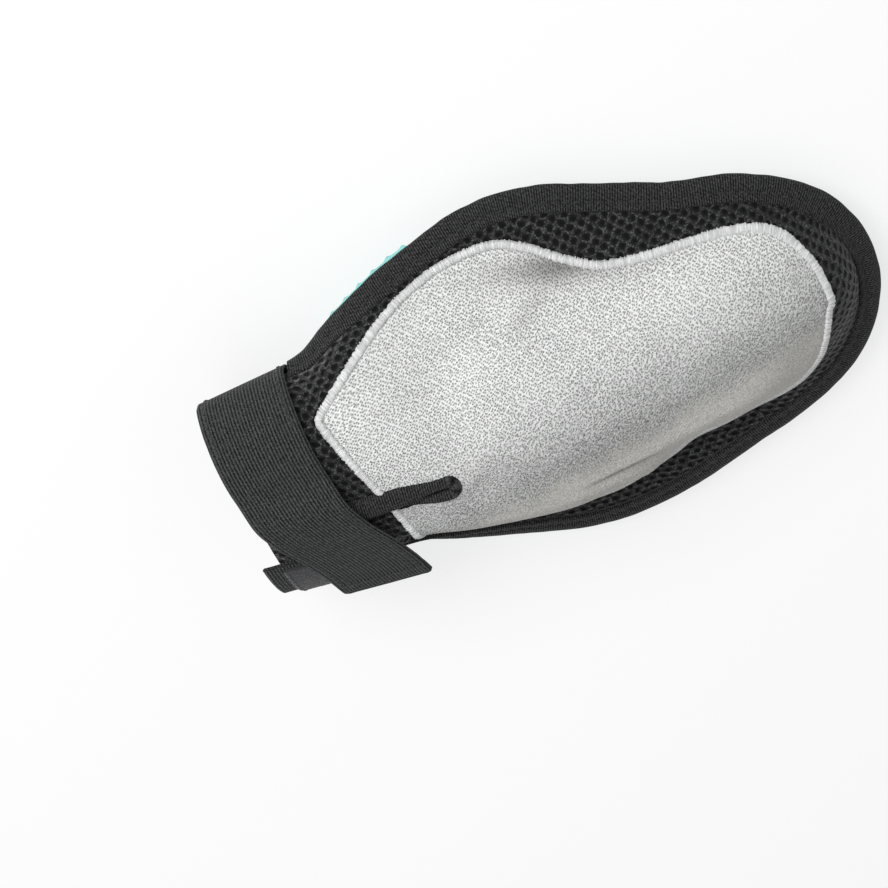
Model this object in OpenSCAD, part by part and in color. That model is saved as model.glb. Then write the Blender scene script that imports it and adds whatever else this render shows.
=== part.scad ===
// Grooming glove: a double-sided mitt in its worn, hand-filled shape, lying on its rubber nubs.
// Frame: X runs from the wrist opening to the fingertips, Y across the hand, Z up, velour side up.
// The origin is the tip of one nub of the pad, on the surface the glove lies on.

/* [Mitt] */
// length of the mitt fabric from the wrist edge to the fingertip seam
mitt_l = 236; // [216:1:252]
// width across the palm lobe, seam to seam
palm_w = 132; // [122:1:140]
// height of the top of the palm above the nub tips
palm_h = 55; // [50:1:60]
// thickness of the spacer mesh panel
mesh_t = 1.6; // [1.2:0.1:2.2]
// thickness of the lining under the hand
lining_t = 1; // [0.7:0.1:1.4]

/* [Velour patch] */
// thickness of the velour patch with its pile
velour_t = 1.6; // [1.2:0.1:2.4]
// width of the satin stitch around the patch
satin_w = 3.3; // [2.4:0.1:4]
// how far the satin stitch stands above the mesh
satin_h = 2.2; // [1.8:0.1:3]

/* [Rubber pad] */
// thickness of the rubber sheet the nubs stand on
pad_t = 2; // [1.4:0.1:2.6]
// height of a nub
nub_h = 5; // [4:0.1:6]
// diameter of a nub at its root
nub_root_d = 3; // [2.4:0.1:3.6]
// diameter of the flat nub tip
nub_tip_d = 1.6; // [1.2:0.1:2.2]
// distance from nub to nub
nub_pitch = 7; // [6.6:0.1:9]

/* [Bindings] */
// width of the folded tape on the outer edge
binding_w = 10; // [8:0.2:11]
// thickness of the folded tape
binding_t = 3; // [2.4:0.1:3.6]
// length of the vent slit from the wrist edge
vent_l = 76; // [66:1:84]
// width of the tape on each side of the vent
vent_tape_w = 5.4; // [5:0.1:6]
// thickness of the vent tape
vent_tape_t = 2.4; // [2:0.1:2.8]
// width of the vent slit between its two taped sides
vent_gap = 0.8; // [0.6:0.1:1.2]

/* [Wrist strap] */
// width of the elastic
strap_w = 36; // [34:1:40]
// thickness of the elastic
strap_t = 1.6; // [1.2:0.1:2]
// width of the strap loop round the wrist, at mid thickness
loop_w = 86; // [85:0.5:90]
// height of the strap loop round the wrist, at mid thickness
loop_h = 51; // [50:0.5:53]
// length of the loose tab beyond the place where it leaves the wrist
tab_l = 14; // [11:1:20]
// thickness of each half of the touch fastener
fastener_t = 1.2; // [1:0.1:1.6]
// length of the loop half of the touch fastener
loop_patch_l = 30; // [24:1:34]
// length of the hook half of the touch fastener
hook_patch_l = 16; // [13:1:18]
// width of both halves of the touch fastener
fastener_w = 28; // [24:1:30]

/* [Stitching] */
// length of one stitch
stitch_l = 2.8; // [2:0.1:3.2]
// distance from stitch to stitch
stitch_pitch = 4; // [3.6:0.1:6]
// thickness of the sewing thread
thread_t = 0.6; // [0.5:0.05:0.8]

/* [Hidden] */

// gap between parts that only lie against each other
clear = 0.3;
// scales of the outline along, across and up
lk = mitt_l / 236;
wk = palm_w / 132;
hk = palm_h / 55;
// place of the wrist edge
wrist_x = -70 * lk;
// the strap loop runs round the wrist; it widens a little towards the fingers
loop_y = 3;
loop_z = loop_h / 2 + 4.5;
loop_x0 = wrist_x + 11;
flare = 1.6;
wrist_flat = (loop_w - loop_h) / 2;
// half width of the mitt inside the strap loop at distance u from the wrist edge
function wrist_in(u) = loop_w / 2 + flare * (wrist_x + u - loop_x0) / 20 - strap_t / 2 - clear;
// end of the part that lies inside the strap, and room there for the end of the edge tape
strap_u = 24;
tape_room = 1.2;
tip_l = 47 * lk;
tip_u = mitt_l - tip_l;
tip_n = 2.15;
// seam distance from the middle line on either side, against the distance from the wrist edge
side_plus = concat([[0, wrist_in(0) + loop_y], [strap_u, wrist_in(strap_u) + loop_y - tape_room]],
  [for (p = [[38, 45], [51, 50.8], [68, 56.1], [85, 60.8], [116, 67.3], [136, 64.6], [160, 55.4],
    [178, 48.3], [194, 44.2], [236, 38.5]]) [p[0], p[1] * wk]]);
side_minus = concat([[0, wrist_in(0) - loop_y], [strap_u, wrist_in(strap_u) - loop_y - tape_room]],
  [for (p = [[38, 39.5], [50, 41.5], [62, 46], [78, 52.4], [95, 58.6], [110, 63.2], [128, 64.5],
    [148, 62], [169, 56], [188, 50], [205, 46], [236, 42.5]]) [p[0], p[1] * wk]]);
// height of the seam and of the top of the mitt
seam_z = concat([[0, loop_z], [30, loop_z]],
  [for (p = [[56, 26.5], [84, 20], [112, 17], [236, 16]]) [p[0], p[1] * hk]]);
top_z = concat([[0, loop_z + wrist_in(0) - wrist_flat], [strap_u, loop_z + wrist_in(strap_u) - wrist_flat]],
  [for (p = [[56, 54.5], [72, 55], [112, 53], [150, 47], [190, 42], [236, 38]]) [p[0], p[1] * hk]]);
// share of the width that lies flat underneath
flat_v = [[0, 0], [30, 0], [60, 0.5], [90, 0.72], [236, 0.72]];
bed_z = nub_h + pad_t;
// height of the underside at the wrist, falling to the pad level
bed = [[0, loop_z - wrist_in(0) + wrist_flat], [strap_u, loop_z - wrist_in(strap_u) + wrist_flat],
  [46, bed_z], [236, bed_z]];
// share of the width at which the steep flank on the -Y side starts
shoulder = [[0, 0.5], [60, 0.5], [110, 0.5], [150, 0.42], [180, 0.46], [236, 0.5]];
flank = 0.42;

function seg(t, x, i = 0) = (i >= len(t) - 2 || x < t[i + 1][0]) ? i : seg(t, x, i + 1);
function slope(t, k) = let(a = max(k - 1, 0), b = min(k + 1, len(t) - 1))
  (t[b][1] - t[a][1]) / (t[b][0] - t[a][0]);
function curve(t, x) = let(i = seg(t, x), h = t[i + 1][0] - t[i][0],
    q = min(1, max(0, (x - t[i][0]) / h)))
  (2 * q^3 - 3 * q^2 + 1) * t[i][1] + (q^3 - 2 * q^2 + q) * h * slope(t, i)
  + (3 * q^2 - 2 * q^3) * t[i + 1][1] + (q^3 - q^2) * h * slope(t, i + 1);
function ease(a, b, x) = let(q = min(1, max(0, (x - a) / (b - a)))) q * q * (3 - 2 * q);
function unit(p) = p / norm(p);
function round_off(u, from, n) = u <= from ? 1
  : (max(0, 1 - ((u - from) / (mitt_l - from))^n))^(1 / n);

// share of the sideways shift that the middle of the mitt takes part in: all of it inside the strap
function centred(s) = 1 - ease(22, 40, s);
// y of the mitt at distance u from the wrist edge and share v of the width, -1 to 1
function across(u, v) = let(s = u / lk, p = curve(side_plus, s), m = curve(side_minus, s), e = centred(s))
  round_off(u, tip_u, tip_n) * (v * (p + m) / 2 + (e + (1 - e) * v * v) * (p - m) / 2);
function half_w(u) = (across(u, 1) - across(u, -1)) / 2;
// share of the crown height at share v of the width: a bell, with a steep flank on the -Y side
function bell(s, v) = let(lean = 0.2 * ease(40, 80, s) * (1 - ease(120, 190, s)),
    vs = v + lean * (1 - v * v), q = max(0, 1 - vs * vs),
    w = ease(25, 85, s))
  (1 - w) * sqrt(q) + w * (0.55 * q + 0.45 * q * q);
function side(s, v) = let(a = curve(shoulder, s)) (1 - ease(a, a + flank, -v)) * (1 - 0.25 * v * v);
function dome(u, v) = let(s = u / lk,
    k = ease(0.1, 0.45, -v) * ease(28, 52, s) * (1 - 0.8 * ease(180, 210, s)))
  (1 - k) * bell(s, v) + k * side(s, v);
// outer face of the mesh panel and face between lining and pad, by angle a across the mitt
function top_at(u, a) = let(s = u / lk, v = sin(a), z0 = curve(seam_z, s))
  [wrist_x + u, across(u, v),
   z0 + (curve(top_z, s) - z0) * round_off(u, tip_u, tip_n) * dome(u, v)];
function bed_at(u, a) = let(s = u / lk, v = sin(a), f = curve(flat_v, s),
    r = max(0, (abs(v) - f) / (1 - f)), z0 = curve(seam_z, s))
  [wrist_x + u, across(u, v),
   z0 - (z0 - curve(bed, s)) * round_off(u, mitt_l - 30, tip_n) * sqrt(1 - r * r)];
function top_n(u, a) = let(b = min(84, max(-84, a)))
  unit(cross(top_at(u + 0.1, b) - top_at(u - 0.1, b), top_at(u, b + 0.5) - top_at(u, b - 0.5)));
function bed_n(u, a) = let(b = min(84, max(-84, a)))
  unit(cross(bed_at(u + 0.1, b) - bed_at(u - 0.1, b), bed_at(u, b + 0.5) - bed_at(u, b - 0.5)));
function top_off(u, a, h) = top_at(u, a) + h * top_n(u, a);
function bed_off(u, a, h) = bed_at(u, a) + h * bed_n(u, a);
// angle across the mitt that lies at distance y from the middle
function angle_of(u, y) = let(e = centred(u / lk), b = half_w(u), k = (across(u, 1) + across(u, -1)) / 2,
    c = k * (1 - e), d = y - k * e)
  asin(min(1, max(-1, abs(c) < 0.01 ? d / b : (-b + sqrt(max(0, b * b + 4 * c * d))) / (2 * c))));

// stations along the mitt, closer together round the fingertips
rows = 17;
stations = concat([for (i = [0 : rows]) tip_u * i / rows],
  [for (a = [15, 30, 45, 58, 70, 79, 86]) tip_u + tip_l * sin(a)]);
top_angles = [-84, -75, -66, -58, -50, -42, -33, -24, -12, 0, 12, 24, 36, 48, 60, 72, 84];
bed_angles = [-84, -78, -72, -60, -48, -36, -24, -12, 0, 12, 24, 36, 48, 60, 72, 78, 84];

// closed solid between two grids of points
module skin(upper, lower) {
  n = len(upper);
  m = len(upper[0]);
  k = n * m;
  pts = concat([for (r = upper) each r], [for (r = lower) each r]);
  up = [for (i = [0 : n - 2]) for (j = [0 : m - 2]) let(a = i * m + j)
    each [[a, a + 1, a + m + 1], [a, a + m + 1, a + m]]];
  down = [for (i = [0 : n - 2]) for (j = [0 : m - 2]) let(a = k + i * m + j)
    each [[a, a + m + 1, a + 1], [a, a + m, a + m + 1]]];
  ends = [for (j = [0 : m - 2]) let(b = (n - 1) * m + j)
    each [[j, k + j, k + j + 1], [j, k + j + 1, j + 1],
          [b, b + 1, k + b + 1], [b, k + b + 1, k + b]]];
  sides = [for (i = [0 : n - 2]) let(a = i * m, b = i * m + m - 1)
    each [[a, a + m, k + a + m], [a, k + a + m, k + a],
          [b, k + b, k + b + m], [b, k + b + m, b + m]]];
  polyhedron(points = pts, faces = concat(up, down, ends, sides), convexity = 6);
}

// closed solid through a list of section rings, open at both ends or joined into a loop
module sweep(rings, looped = false) {
  n = len(rings);
  m = len(rings[0]);
  last = looped ? n - 1 : n - 2;
  wall = [for (i = [0 : last]) for (j = [0 : m - 1])
    let(a = i * m + j, b = i * m + (j + 1) % m, c = ((i + 1) % n) * m + j,
        d = ((i + 1) % n) * m + (j + 1) % m) each [[a, b, d], [a, d, c]]];
  caps = looped ? [] : concat([for (j = [1 : m - 2]) [0, j + 1, j]],
    [for (j = [1 : m - 2]) let(o = (n - 1) * m) [o, o + j, o + j + 1]]);
  polyhedron(points = [for (r = rings) each r], faces = concat(wall, caps), convexity = 6);
}

// ---- vent ----
vent_share = -0.14;
vent_from = 6;
vent_turn = vent_gap / 2 + vent_tape_w / 2;
vent_stop = vent_l - vent_turn - vent_tape_w / 2;
function vent_y(u) = across(u, vent_share);
// towards the wrist the two sides of the vent tape close over each other, the +Y side on top
function shut(u) = 1 - ease(vent_l - 26, vent_l - 8, u);
shut_up = 0.8;
shut_low = 2.3;
shut_lift = 2;
// U-shaped middle line of the vent tape as [u, y, lift of its inner edge, share of its thickness]
vent_us = [for (i = [0 : 10]) vent_from + (vent_stop - vent_from) * i / 10];
vent_path = concat(
  [for (u = vent_us) [u, vent_y(u) + vent_turn - shut_up * shut(u), shut_lift * shut(u), 1 - 0.2 * shut(u)]],
  [for (a = [30 : 30 : 150]) [vent_stop + vent_turn * sin(a), vent_y(vent_stop) + vent_turn * cos(a), 0, 1]],
  [for (i = [10 : -1 : 0]) let(u = vent_us[i])
    [u, vent_y(u) - vent_turn + shut_low * shut(u), 0, 1 - 0.5 * shut(u)]]);
// height of the middle of the tape at a point of its line
function vent_top(q) = q[2] / 2 + vent_tape_t * q[3];
function on_top(p, h) = top_off(p[0], angle_of(p[0], p[1]), h);
// room for the whole tape in the velour and its satin stitch
vent_cut = vent_turn + vent_tape_w / 2 + 0.4;
// upright slot of half width h along the vent, with a round end
module slit(h) {
  us = [for (i = [0 : 8]) -4 + (vent_stop + 4) * i / 8];
  translate([0, 0, bed_z + 10])
    linear_extrude(palm_h + 20)
      polygon(concat([for (u = us) [wrist_x + u, vent_y(max(0, u)) - h]],
        [for (a = [-60 : 30 : 60]) [wrist_x + vent_stop + h * cos(a), vent_y(vent_stop) + h * sin(a)]],
        [for (i = [8 : -1 : 0]) [wrist_x + us[i], vent_y(max(0, us[i])) + h]]));
}

// ---- velour patch outline: distance from the middle on both sides ----
patch_from = 47;
patch_to = 220.5;
patch_plus = [[34, 31], [48, 40], [63, 48.5], [78, 55], [94, 59.5], [108, 61], [118, 60], [128, 55],
  [138, 47.5], [150, 41], [166, 38], [184, 36], [198, 34], [208, 30.5], [215, 25], [220.5, 15]];
patch_minus = [[34, 26], [50, 31], [64, 36.5], [80, 42], [96, 47], [112, 51], [126, 52], [138, 50],
  [148, 45.5], [156, 39], [166, 35], [180, 37], [192, 36.5], [202, 33.5], [209, 27.5], [215, 18.5],
  [220.5, 4]];
// the patch starts on a slant: nearer the wrist on the +Y side
function patch_u(q, v) = let(s = lk * (patch_from + (patch_to - patch_from) * q))
  s + (1 - q)^3 * lk * (v > 0 ? -11.4 * v : -7 * v);
function patch_y(q, v) = let(s = patch_u(q, v) / lk)
  wk * (v > 0 ? v * curve(patch_plus, s) : v * curve(patch_minus, s));
patch_rows = 22;
patch_cols = 8;
patch_lift = 0.25;
patch_q = [for (i = [0 : patch_rows]) let(t = i / patch_rows) t - 0.3 * t * (1 - t) * (2 * t - 1) * -1];
function patch_grid(h, k = 1) = [for (q = patch_q)
  [for (j = [-patch_cols : patch_cols]) let(v = k * j / patch_cols, u = patch_u(q, v))
    top_off(u, angle_of(u, patch_y(q, v)), h)]];
// outline of the patch as a closed list of [u, y]
patch_rim = concat(
  [for (q = patch_q) [patch_u(q, 1), patch_y(q, 1)]],
  [for (j = [4 : -2 : -4]) let(v = j / 7) [patch_u(1, v) + lk * 2.2 * (1 - v * v), patch_y(1, v)]],
  [for (i = [patch_rows : -1 : 0]) let(q = patch_q[i]) [patch_u(q, -1), patch_y(q, -1)]],
  [for (j = [-5 : 2 : 5]) let(v = j / 7) [patch_u(0, v), patch_y(0, v)]]);
function flat_dir(p, i) = let(n = len(p), a = p[(i + n - 1) % n], b = p[(i + 1) % n]) unit(b - a);
function band_ring(p, i, w, h0, h1) = let(d = flat_dir(p, i), s = [-d[1], d[0]], a = p[i] + s * w / 2,
    b = p[i] - s * w / 2) [on_top(a, h0), on_top(b, h0), on_top(b, h1 * 0.8), on_top(p[i], h1),
    on_top(a, h1 * 0.8)];

module front_mesh_panel() {
  color([0.09, 0.09, 0.10])
    difference() {
      skin([for (u = stations) [for (a = top_angles) top_at(u, a)]],
        [for (u = stations) [for (a = top_angles) top_off(u, a, -mesh_t)]]);
      slit(vent_gap / 2);
    }
}

module velour_patch() {
  color([0.78, 0.78, 0.77])
    difference() {
      skin(patch_grid(velour_t), patch_grid(patch_lift));
      slit(vent_cut);
    }
}

module patch_satin_stitch() {
  color([0.86, 0.87, 0.88])
    difference() {
      sweep([for (i = [0 : len(patch_rim) - 1]) band_ring(patch_rim, i, satin_w, patch_lift, satin_h)], true);
      slit(vent_cut);
    }
}

module palm_lining() {
  color([0.14, 0.14, 0.15])
    skin([for (u = stations) [for (a = bed_angles) bed_off(u, a, lining_t)]],
      [for (u = stations) [for (a = bed_angles) bed_at(u, a)]]);
}

// ---- rubber pad ----
pad_from = 36;
pad_rows = [for (u = stations) if (u > pad_from && u < mitt_l - 1) u];
pad_angles = [for (a = bed_angles) if (abs(a) < 80) a];
nub_step = nub_pitch * 0.866;
nub_rows = [floor((pad_from + 14 + wrist_x) / nub_step) : floor((mitt_l + wrist_x - 12) / nub_step)];
flat_edge = 48;
side_rows = [-72, -60, 60, 72];
// one nub: a cone with a flat tip, its root sunk into the sheet
module nub(root) {
  translate([0, 0, -nub_h])
    cylinder(h = nub_h + root, d1 = nub_tip_d, d2 = nub_root_d, $fn = 16);
}
// a nub standing square to the sheet
module nub_at(u, a) {
  n = bed_n(u, a);
  translate(bed_off(u, a, -pad_t))
    rotate([0, acos(min(1, n[2])), n[2] > 0.99999 ? 0 : atan2(n[1], n[0])])
      nub(pad_t / 2);
}

module nub_pad() {
  color([0.42, 0.74, 0.73]) {
    skin([for (u = pad_rows) [for (a = pad_angles) bed_at(u, a)]],
      [for (u = pad_rows) [for (a = pad_angles) bed_off(u, a, -pad_t)]]);
    for (i = nub_rows)
      for (j = [-12 : 12]) {
        u = i * nub_step - wrist_x;
        y = (j + (i % 2 == 0 ? 0 : 0.5)) * nub_pitch;
        a = angle_of(u, y);
        if (abs(a) < flat_edge)
          nub_at(u, a);
      }
    for (a = side_rows)
      for (u = [pad_from + 18 : nub_pitch : mitt_l - 26])
        nub_at(u, a);
  }
}

// ---- outer edge ----
bind_from = 29.8;
bind_u = concat([for (i = [0 : 16]) bind_from + (tip_u - bind_from) * i / 16],
  [for (a = [10 : 10 : 70]) tip_u + tip_l * sin(a)]);
// middle of the seam as [u, y, side]; the last point is the fingertip
rim = concat([for (u = bind_u) [u, across(u, 1)]],
  [for (a = [78, 86, 90]) let(u = tip_u + tip_l * sin(a)) [u, across(u, 1)]],
  [for (a = [86, 78]) let(u = tip_u + tip_l * sin(a)) [u, across(u, -1)]],
  [for (i = [len(bind_u) - 1 : -1 : 0]) let(u = bind_u[i]) [u, across(u, -1)]]);
// slope of the tape across its width, in degrees below level
drop = [[0, 92], [26, 88], [38, 74], [51, 62], [68, 46], [90, 35], [112, 30], [236, 28]];
function rim_dir(i) = let(n = len(rim), a = rim[max(0, i - 1)], b = rim[min(n - 1, i + 1)]) unit(b - a);
// point of the binding: s across the tape outwards, h along its thickness upwards
function rim_pt(i, s, h) = let(p = rim[i], d = rim_dir(i), o = [-d[1], d[0]], t = curve(drop, p[0] / lk),
    w = [o[0] * cos(t), o[1] * cos(t), -sin(t)], n = [o[0] * sin(t), o[1] * sin(t), cos(t)])
  [wrist_x + p[0], p[1], curve(seam_z, p[0] / lk)] + w * s + n * h;
bind_in = -0.4;
module edge_binding() {
  color([0.11, 0.11, 0.12])
    sweep([for (i = [0 : len(rim) - 1]) [rim_pt(i, bind_in, -binding_t / 2),
      rim_pt(i, bind_in, binding_t * 0.4), rim_pt(i, binding_w * 0.3, binding_t / 2),
      rim_pt(i, binding_w * 0.8, binding_t / 2), rim_pt(i, binding_w, binding_t * 0.25),
      rim_pt(i, binding_w, -binding_t * 0.25), rim_pt(i, binding_w * 0.8, -binding_t / 2)]]);
}

// a stitch lying along x, sunk by half its thickness
module stitch() {
  translate([-stitch_l / 2, -thread_t / 2, -thread_t / 2])
    cube([stitch_l, thread_t, thread_t]);
}
module laid(p, along, up) {
  // puts a stitch at p with its length along one direction and its face up another
  z = unit(up);
  x = unit(along - z * (along * z));
  y = cross(z, x);
  multmatrix([[x[0], y[0], z[0], p[0]], [x[1], y[1], z[1], p[1]], [x[2], y[2], z[2], p[2]], [0, 0, 0, 1]])
    children();
}
bind_seam_s = binding_w * 0.28;
module binding_stitching() {
  color([0.16, 0.16, 0.17])
    for (i = [1 : len(rim) - 2]) {
      a = rim_pt(i, bind_seam_s, binding_t / 2);
      b = rim_pt(i + 1, bind_seam_s, binding_t / 2);
      n = rim_pt(i, bind_seam_s, binding_t) - a;
      count = max(1, floor(norm(b - a) / stitch_pitch));
      for (k = [0 : count - 1])
        laid(a + (b - a) * (k + 0.5) / count, b - a, n)
          stitch();
    }
}

module vent_binding() {
  n = len(vent_path);
  color([0.11, 0.11, 0.12])
    sweep([for (i = [0 : n - 1]) let(q = vent_path[i], a = vent_path[max(0, i - 1)],
        b = vent_path[min(n - 1, i + 1)], d = unit([b[0] - a[0], b[1] - a[1]]), p = [q[0], q[1]],
        s = [-d[1], d[0]] * vent_tape_w / 2, t = vent_tape_t * q[3])
      [on_top(p + s, 0.2), on_top(p - s, 0.2 + q[2]), on_top(p - s, q[2] + t * 0.7),
       on_top(p, vent_top(q)), on_top(p + s, t * 0.7)]]);
}

module vent_stitching() {
  color([0.16, 0.16, 0.17])
    for (i = [0 : len(vent_path) - 2]) {
      p = vent_path[i];
      q = vent_path[i + 1];
      a = on_top(p, vent_top(p));
      b = on_top(q, vent_top(q));
      count = max(1, floor(norm(b - a) / stitch_pitch));
      for (k = [0 : count - 1])
        laid(a + (b - a) * (k + 0.5) / count, b - a, on_top(p, vent_top(p) + 1) - a)
          stitch();
    }
}

// ---- wrist strap ----
// the loop runs round the wrist from the vent under the hand and back up to the fold line
fold_a = 72;
under_a = 118;
leave_a = 130;
// place of the band along the mitt, drifting towards the fingers as it crosses the top
drift = [[0, loop_x0], [60, loop_x0 + 2], [85, loop_x0 + 5.5], [100, loop_x0 + 10.5],
  [115, loop_x0 + 17], [leave_a, loop_x0 + 20.5], [leave_a + 30, loop_x0 + 24]];
function loop_pt(a, x, h) = let(k = h + flare * (x - loop_x0) / 20)
  [x, loop_y + (loop_w / 2 + k) * cos(a), loop_z + (loop_h / 2 + k) * sin(a)];
function loop_n(a) = unit([0, cos(a) / loop_w, sin(a) / loop_h]);
function sewn_x(a) = a > 360 ? curve(drift, a - 360) : loop_x0;
strap_edge = strap_w / 2;
function strap_ring(a, xc, h) = [loop_pt(a, xc - strap_edge, h - strap_t / 2),
  loop_pt(a, xc + strap_edge, h - strap_t / 2), loop_pt(a, xc + strap_edge, h + strap_t / 2),
  loop_pt(a, xc - strap_edge, h + strap_t / 2)];
loop_steps = 40;
module wrist_strap() {
  color([0.12, 0.12, 0.13])
    sweep([for (i = [0 : loop_steps]) let(a = under_a + (360 + fold_a - under_a) * i / loop_steps)
      strap_ring(a, sewn_x(a), 0)]);
}
// the free end rises over the fastener, leaves the wrist and runs on straight
stack = strap_t + 2 * fastener_t + thread_t / 2 + clear;
function rise(a) = stack * ease(fold_a, fold_a + 20, a);
tab_steps = 6;
function tab_x(s) = curve(drift, leave_a) + (curve(drift, leave_a + 30) - curve(drift, leave_a)) * s / 22;
function tab_pt(s, side, h) = let(p = loop_pt(leave_a, tab_x(s) + side, stack + h), n = loop_n(leave_a))
  p + s * [0, -n[2], n[1]];
free_from = fold_a + 0.4;
free_steps = 14;
module strap_free_end() {
  color([0.12, 0.12, 0.13])
    sweep(concat([for (i = [0 : free_steps]) let(a = free_from + (leave_a - free_from) * i / free_steps)
        strap_ring(a, curve(drift, a), rise(a))],
      [for (k = [1 : tab_steps]) let(s = tab_l * k / tab_steps) [tab_pt(s, -strap_edge, -strap_t / 2),
        tab_pt(s, strap_edge, -strap_t / 2), tab_pt(s, strap_edge, strap_t / 2),
        tab_pt(s, -strap_edge, strap_t / 2)]]));
}
// gap in which the sewn halves of the fastener lie on the elastic
lay = 0.12;
// degrees of the loop covered by a length of tape near the place where the tab leaves
arc = loop_w / 2 * 0.82;
function span(l) = l / arc * 180 / PI;
loop_from = under_a + 3;
loop_x = loop_x0 + 3;
module loop_patch() {
  color([0.06, 0.06, 0.07])
    sweep([for (i = [0 : 8]) let(a = loop_from + span(loop_patch_l) * i / 8, x = loop_x)
      [loop_pt(a, x - fastener_w / 2, strap_t / 2 + lay), loop_pt(a, x + fastener_w / 2, strap_t / 2 + lay),
       loop_pt(a, x + fastener_w / 2, strap_t / 2 + fastener_t),
       loop_pt(a, x - fastener_w / 2, strap_t / 2 + fastener_t)]]);
}
hook_on_loop = leave_a - loop_from;
hook_x = loop_x0 + 18;
hook_h = stack - strap_t / 2 - fastener_t;
module hook_patch() {
  color([0.05, 0.05, 0.06])
    sweep(concat([for (i = [0 : 3]) let(a = loop_from + hook_on_loop * i / 3, x = hook_x)
        [loop_pt(a, x - fastener_w / 2, hook_h), loop_pt(a, x + fastener_w / 2, hook_h),
         loop_pt(a, x + fastener_w / 2, hook_h + fastener_t - lay),
         loop_pt(a, x - fastener_w / 2, hook_h + fastener_t - lay)]],
      [for (k = [1 : 3]) let(s = (hook_patch_l - hook_on_loop / 180 * PI * arc) * k / 3,
          b = hook_x - tab_x(s))
        [tab_pt(s, b - fastener_w / 2, -strap_t / 2 - fastener_t),
         tab_pt(s, b + fastener_w / 2, -strap_t / 2 - fastener_t),
         tab_pt(s, b + fastener_w / 2, -strap_t / 2 - lay),
         tab_pt(s, b - fastener_w / 2, -strap_t / 2 - lay)]]));
}

// rows of stitches round the loop at distance side from the middle of the band
module loop_row(from, to, h, side) {
  r = (loop_w + loop_h) / 4;
  count = max(1, floor((to - from) / 180 * PI * r / stitch_pitch));
  for (k = [0 : count - 1]) {
    a = from + (to - from) * (k + 0.5) / count;
    x = side == undef ? 0 : side;
    p = loop_pt(a, x, h);
    laid(p, loop_pt(a + 1, x, h) - p, loop_n(a))
      stitch();
  }
}
// rows of stitches along x at one angle
module cross_row(a, x0, x1, h) {
  count = max(1, floor((x1 - x0) / stitch_pitch));
  for (k = [0 : count - 1]) {
    p = loop_pt(a, x0 + (x1 - x0) * (k + 0.5) / count, h);
    laid(p, [1, 0, 0], loop_n(a))
      stitch();
  }
}
hem = 3;
// the rows that hold the strap run from the end of the fastener to short of the fold
row_from = loop_from + span(loop_patch_l) + 3;
row_to = 360 + fold_a - 27;
module strap_stitching() {
  color([0.17, 0.17, 0.18])
    for (side = [-1, 1])
      loop_row(row_from, row_to, strap_t / 2, loop_x0 + side * (strap_edge - hem));
}
module loop_patch_stitching() {
  color([0.17, 0.17, 0.18]) {
    for (side = [-1, 1])
      loop_row(loop_from + 2, loop_from + span(loop_patch_l) - 2, strap_t / 2 + fastener_t,
        loop_x + side * (fastener_w / 2 - 1.5));
    cross_row(loop_from + span(loop_patch_l) - 2, loop_x - fastener_w / 2 + 3,
      loop_x + fastener_w / 2 - 3, strap_t / 2 + fastener_t);
  }
}
module free_end_stitching() {
  color([0.17, 0.17, 0.18]) {
    for (side = [-1, 1])
      for (k = [0 : floor((leave_a - fold_a) / 6) - 2]) {
        a = fold_a + 5 + 6 * k;
        p = loop_pt(a, curve(drift, a) + side * (strap_edge - hem), rise(a) + strap_t / 2);
        q = loop_pt(a + 1, curve(drift, a + 1) + side * (strap_edge - hem), rise(a + 1) + strap_t / 2);
        laid(p, q - p, loop_n(a))
          stitch();
      }
    for (k = [0 : floor((strap_w - 4) / stitch_pitch) - 1]) {
      p = tab_pt(tab_l - hem, -strap_edge + 4 + k * stitch_pitch, strap_t / 2);
      laid(p, [1, 0, 0], loop_n(leave_a))
        stitch();
    }
  }
}
module hook_patch_stitching() {
  color([0.17, 0.17, 0.18])
    for (side = [-1, 1])
      for (k = [0 : floor(tab_l / stitch_pitch) - 2]) {
        s = 2 + k * stitch_pitch;
        p = tab_pt(s, hook_x - tab_x(s) + side * (fastener_w / 2 - 1.5), strap_t / 2);
        laid(p, [0, -loop_n(leave_a)[2], loop_n(leave_a)[1]], loop_n(leave_a))
          stitch();
      }
}

front_mesh_panel();
velour_patch();
patch_satin_stitch();
palm_lining();
nub_pad();
edge_binding();
binding_stitching();
vent_binding();
vent_stitching();
wrist_strap();
strap_stitching();
loop_patch();
loop_patch_stitching();
strap_free_end();
free_end_stitching();
hook_patch();
hook_patch_stitching();
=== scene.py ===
"""Grooming glove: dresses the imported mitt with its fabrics, tapes, stitches, nubs and strap.

Run as a script, it loads the fixed frame, lets one operator make each group of pieces, and sets the stage.
Shapes are worked out in millimetres in the frame of the part and placed in metres.
"""

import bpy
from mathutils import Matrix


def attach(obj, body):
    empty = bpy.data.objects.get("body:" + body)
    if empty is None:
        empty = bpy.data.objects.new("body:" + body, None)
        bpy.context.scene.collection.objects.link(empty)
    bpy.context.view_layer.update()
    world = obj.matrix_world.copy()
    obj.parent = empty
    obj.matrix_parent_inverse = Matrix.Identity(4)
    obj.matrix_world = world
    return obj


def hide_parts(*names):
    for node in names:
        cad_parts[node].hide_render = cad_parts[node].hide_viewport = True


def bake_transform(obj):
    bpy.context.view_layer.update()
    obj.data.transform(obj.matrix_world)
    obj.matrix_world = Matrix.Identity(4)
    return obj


bl_info = {
    "name": "Grooming glove",
    "version": (1, 0, 0),
    "blender": (4, 5, 0),
    "location": "View3D > Sidebar > Glove",
    "description": "Makes the fabrics, tapes, stitches, nubs and strap of a grooming glove",
    "category": "Object",
}

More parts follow.
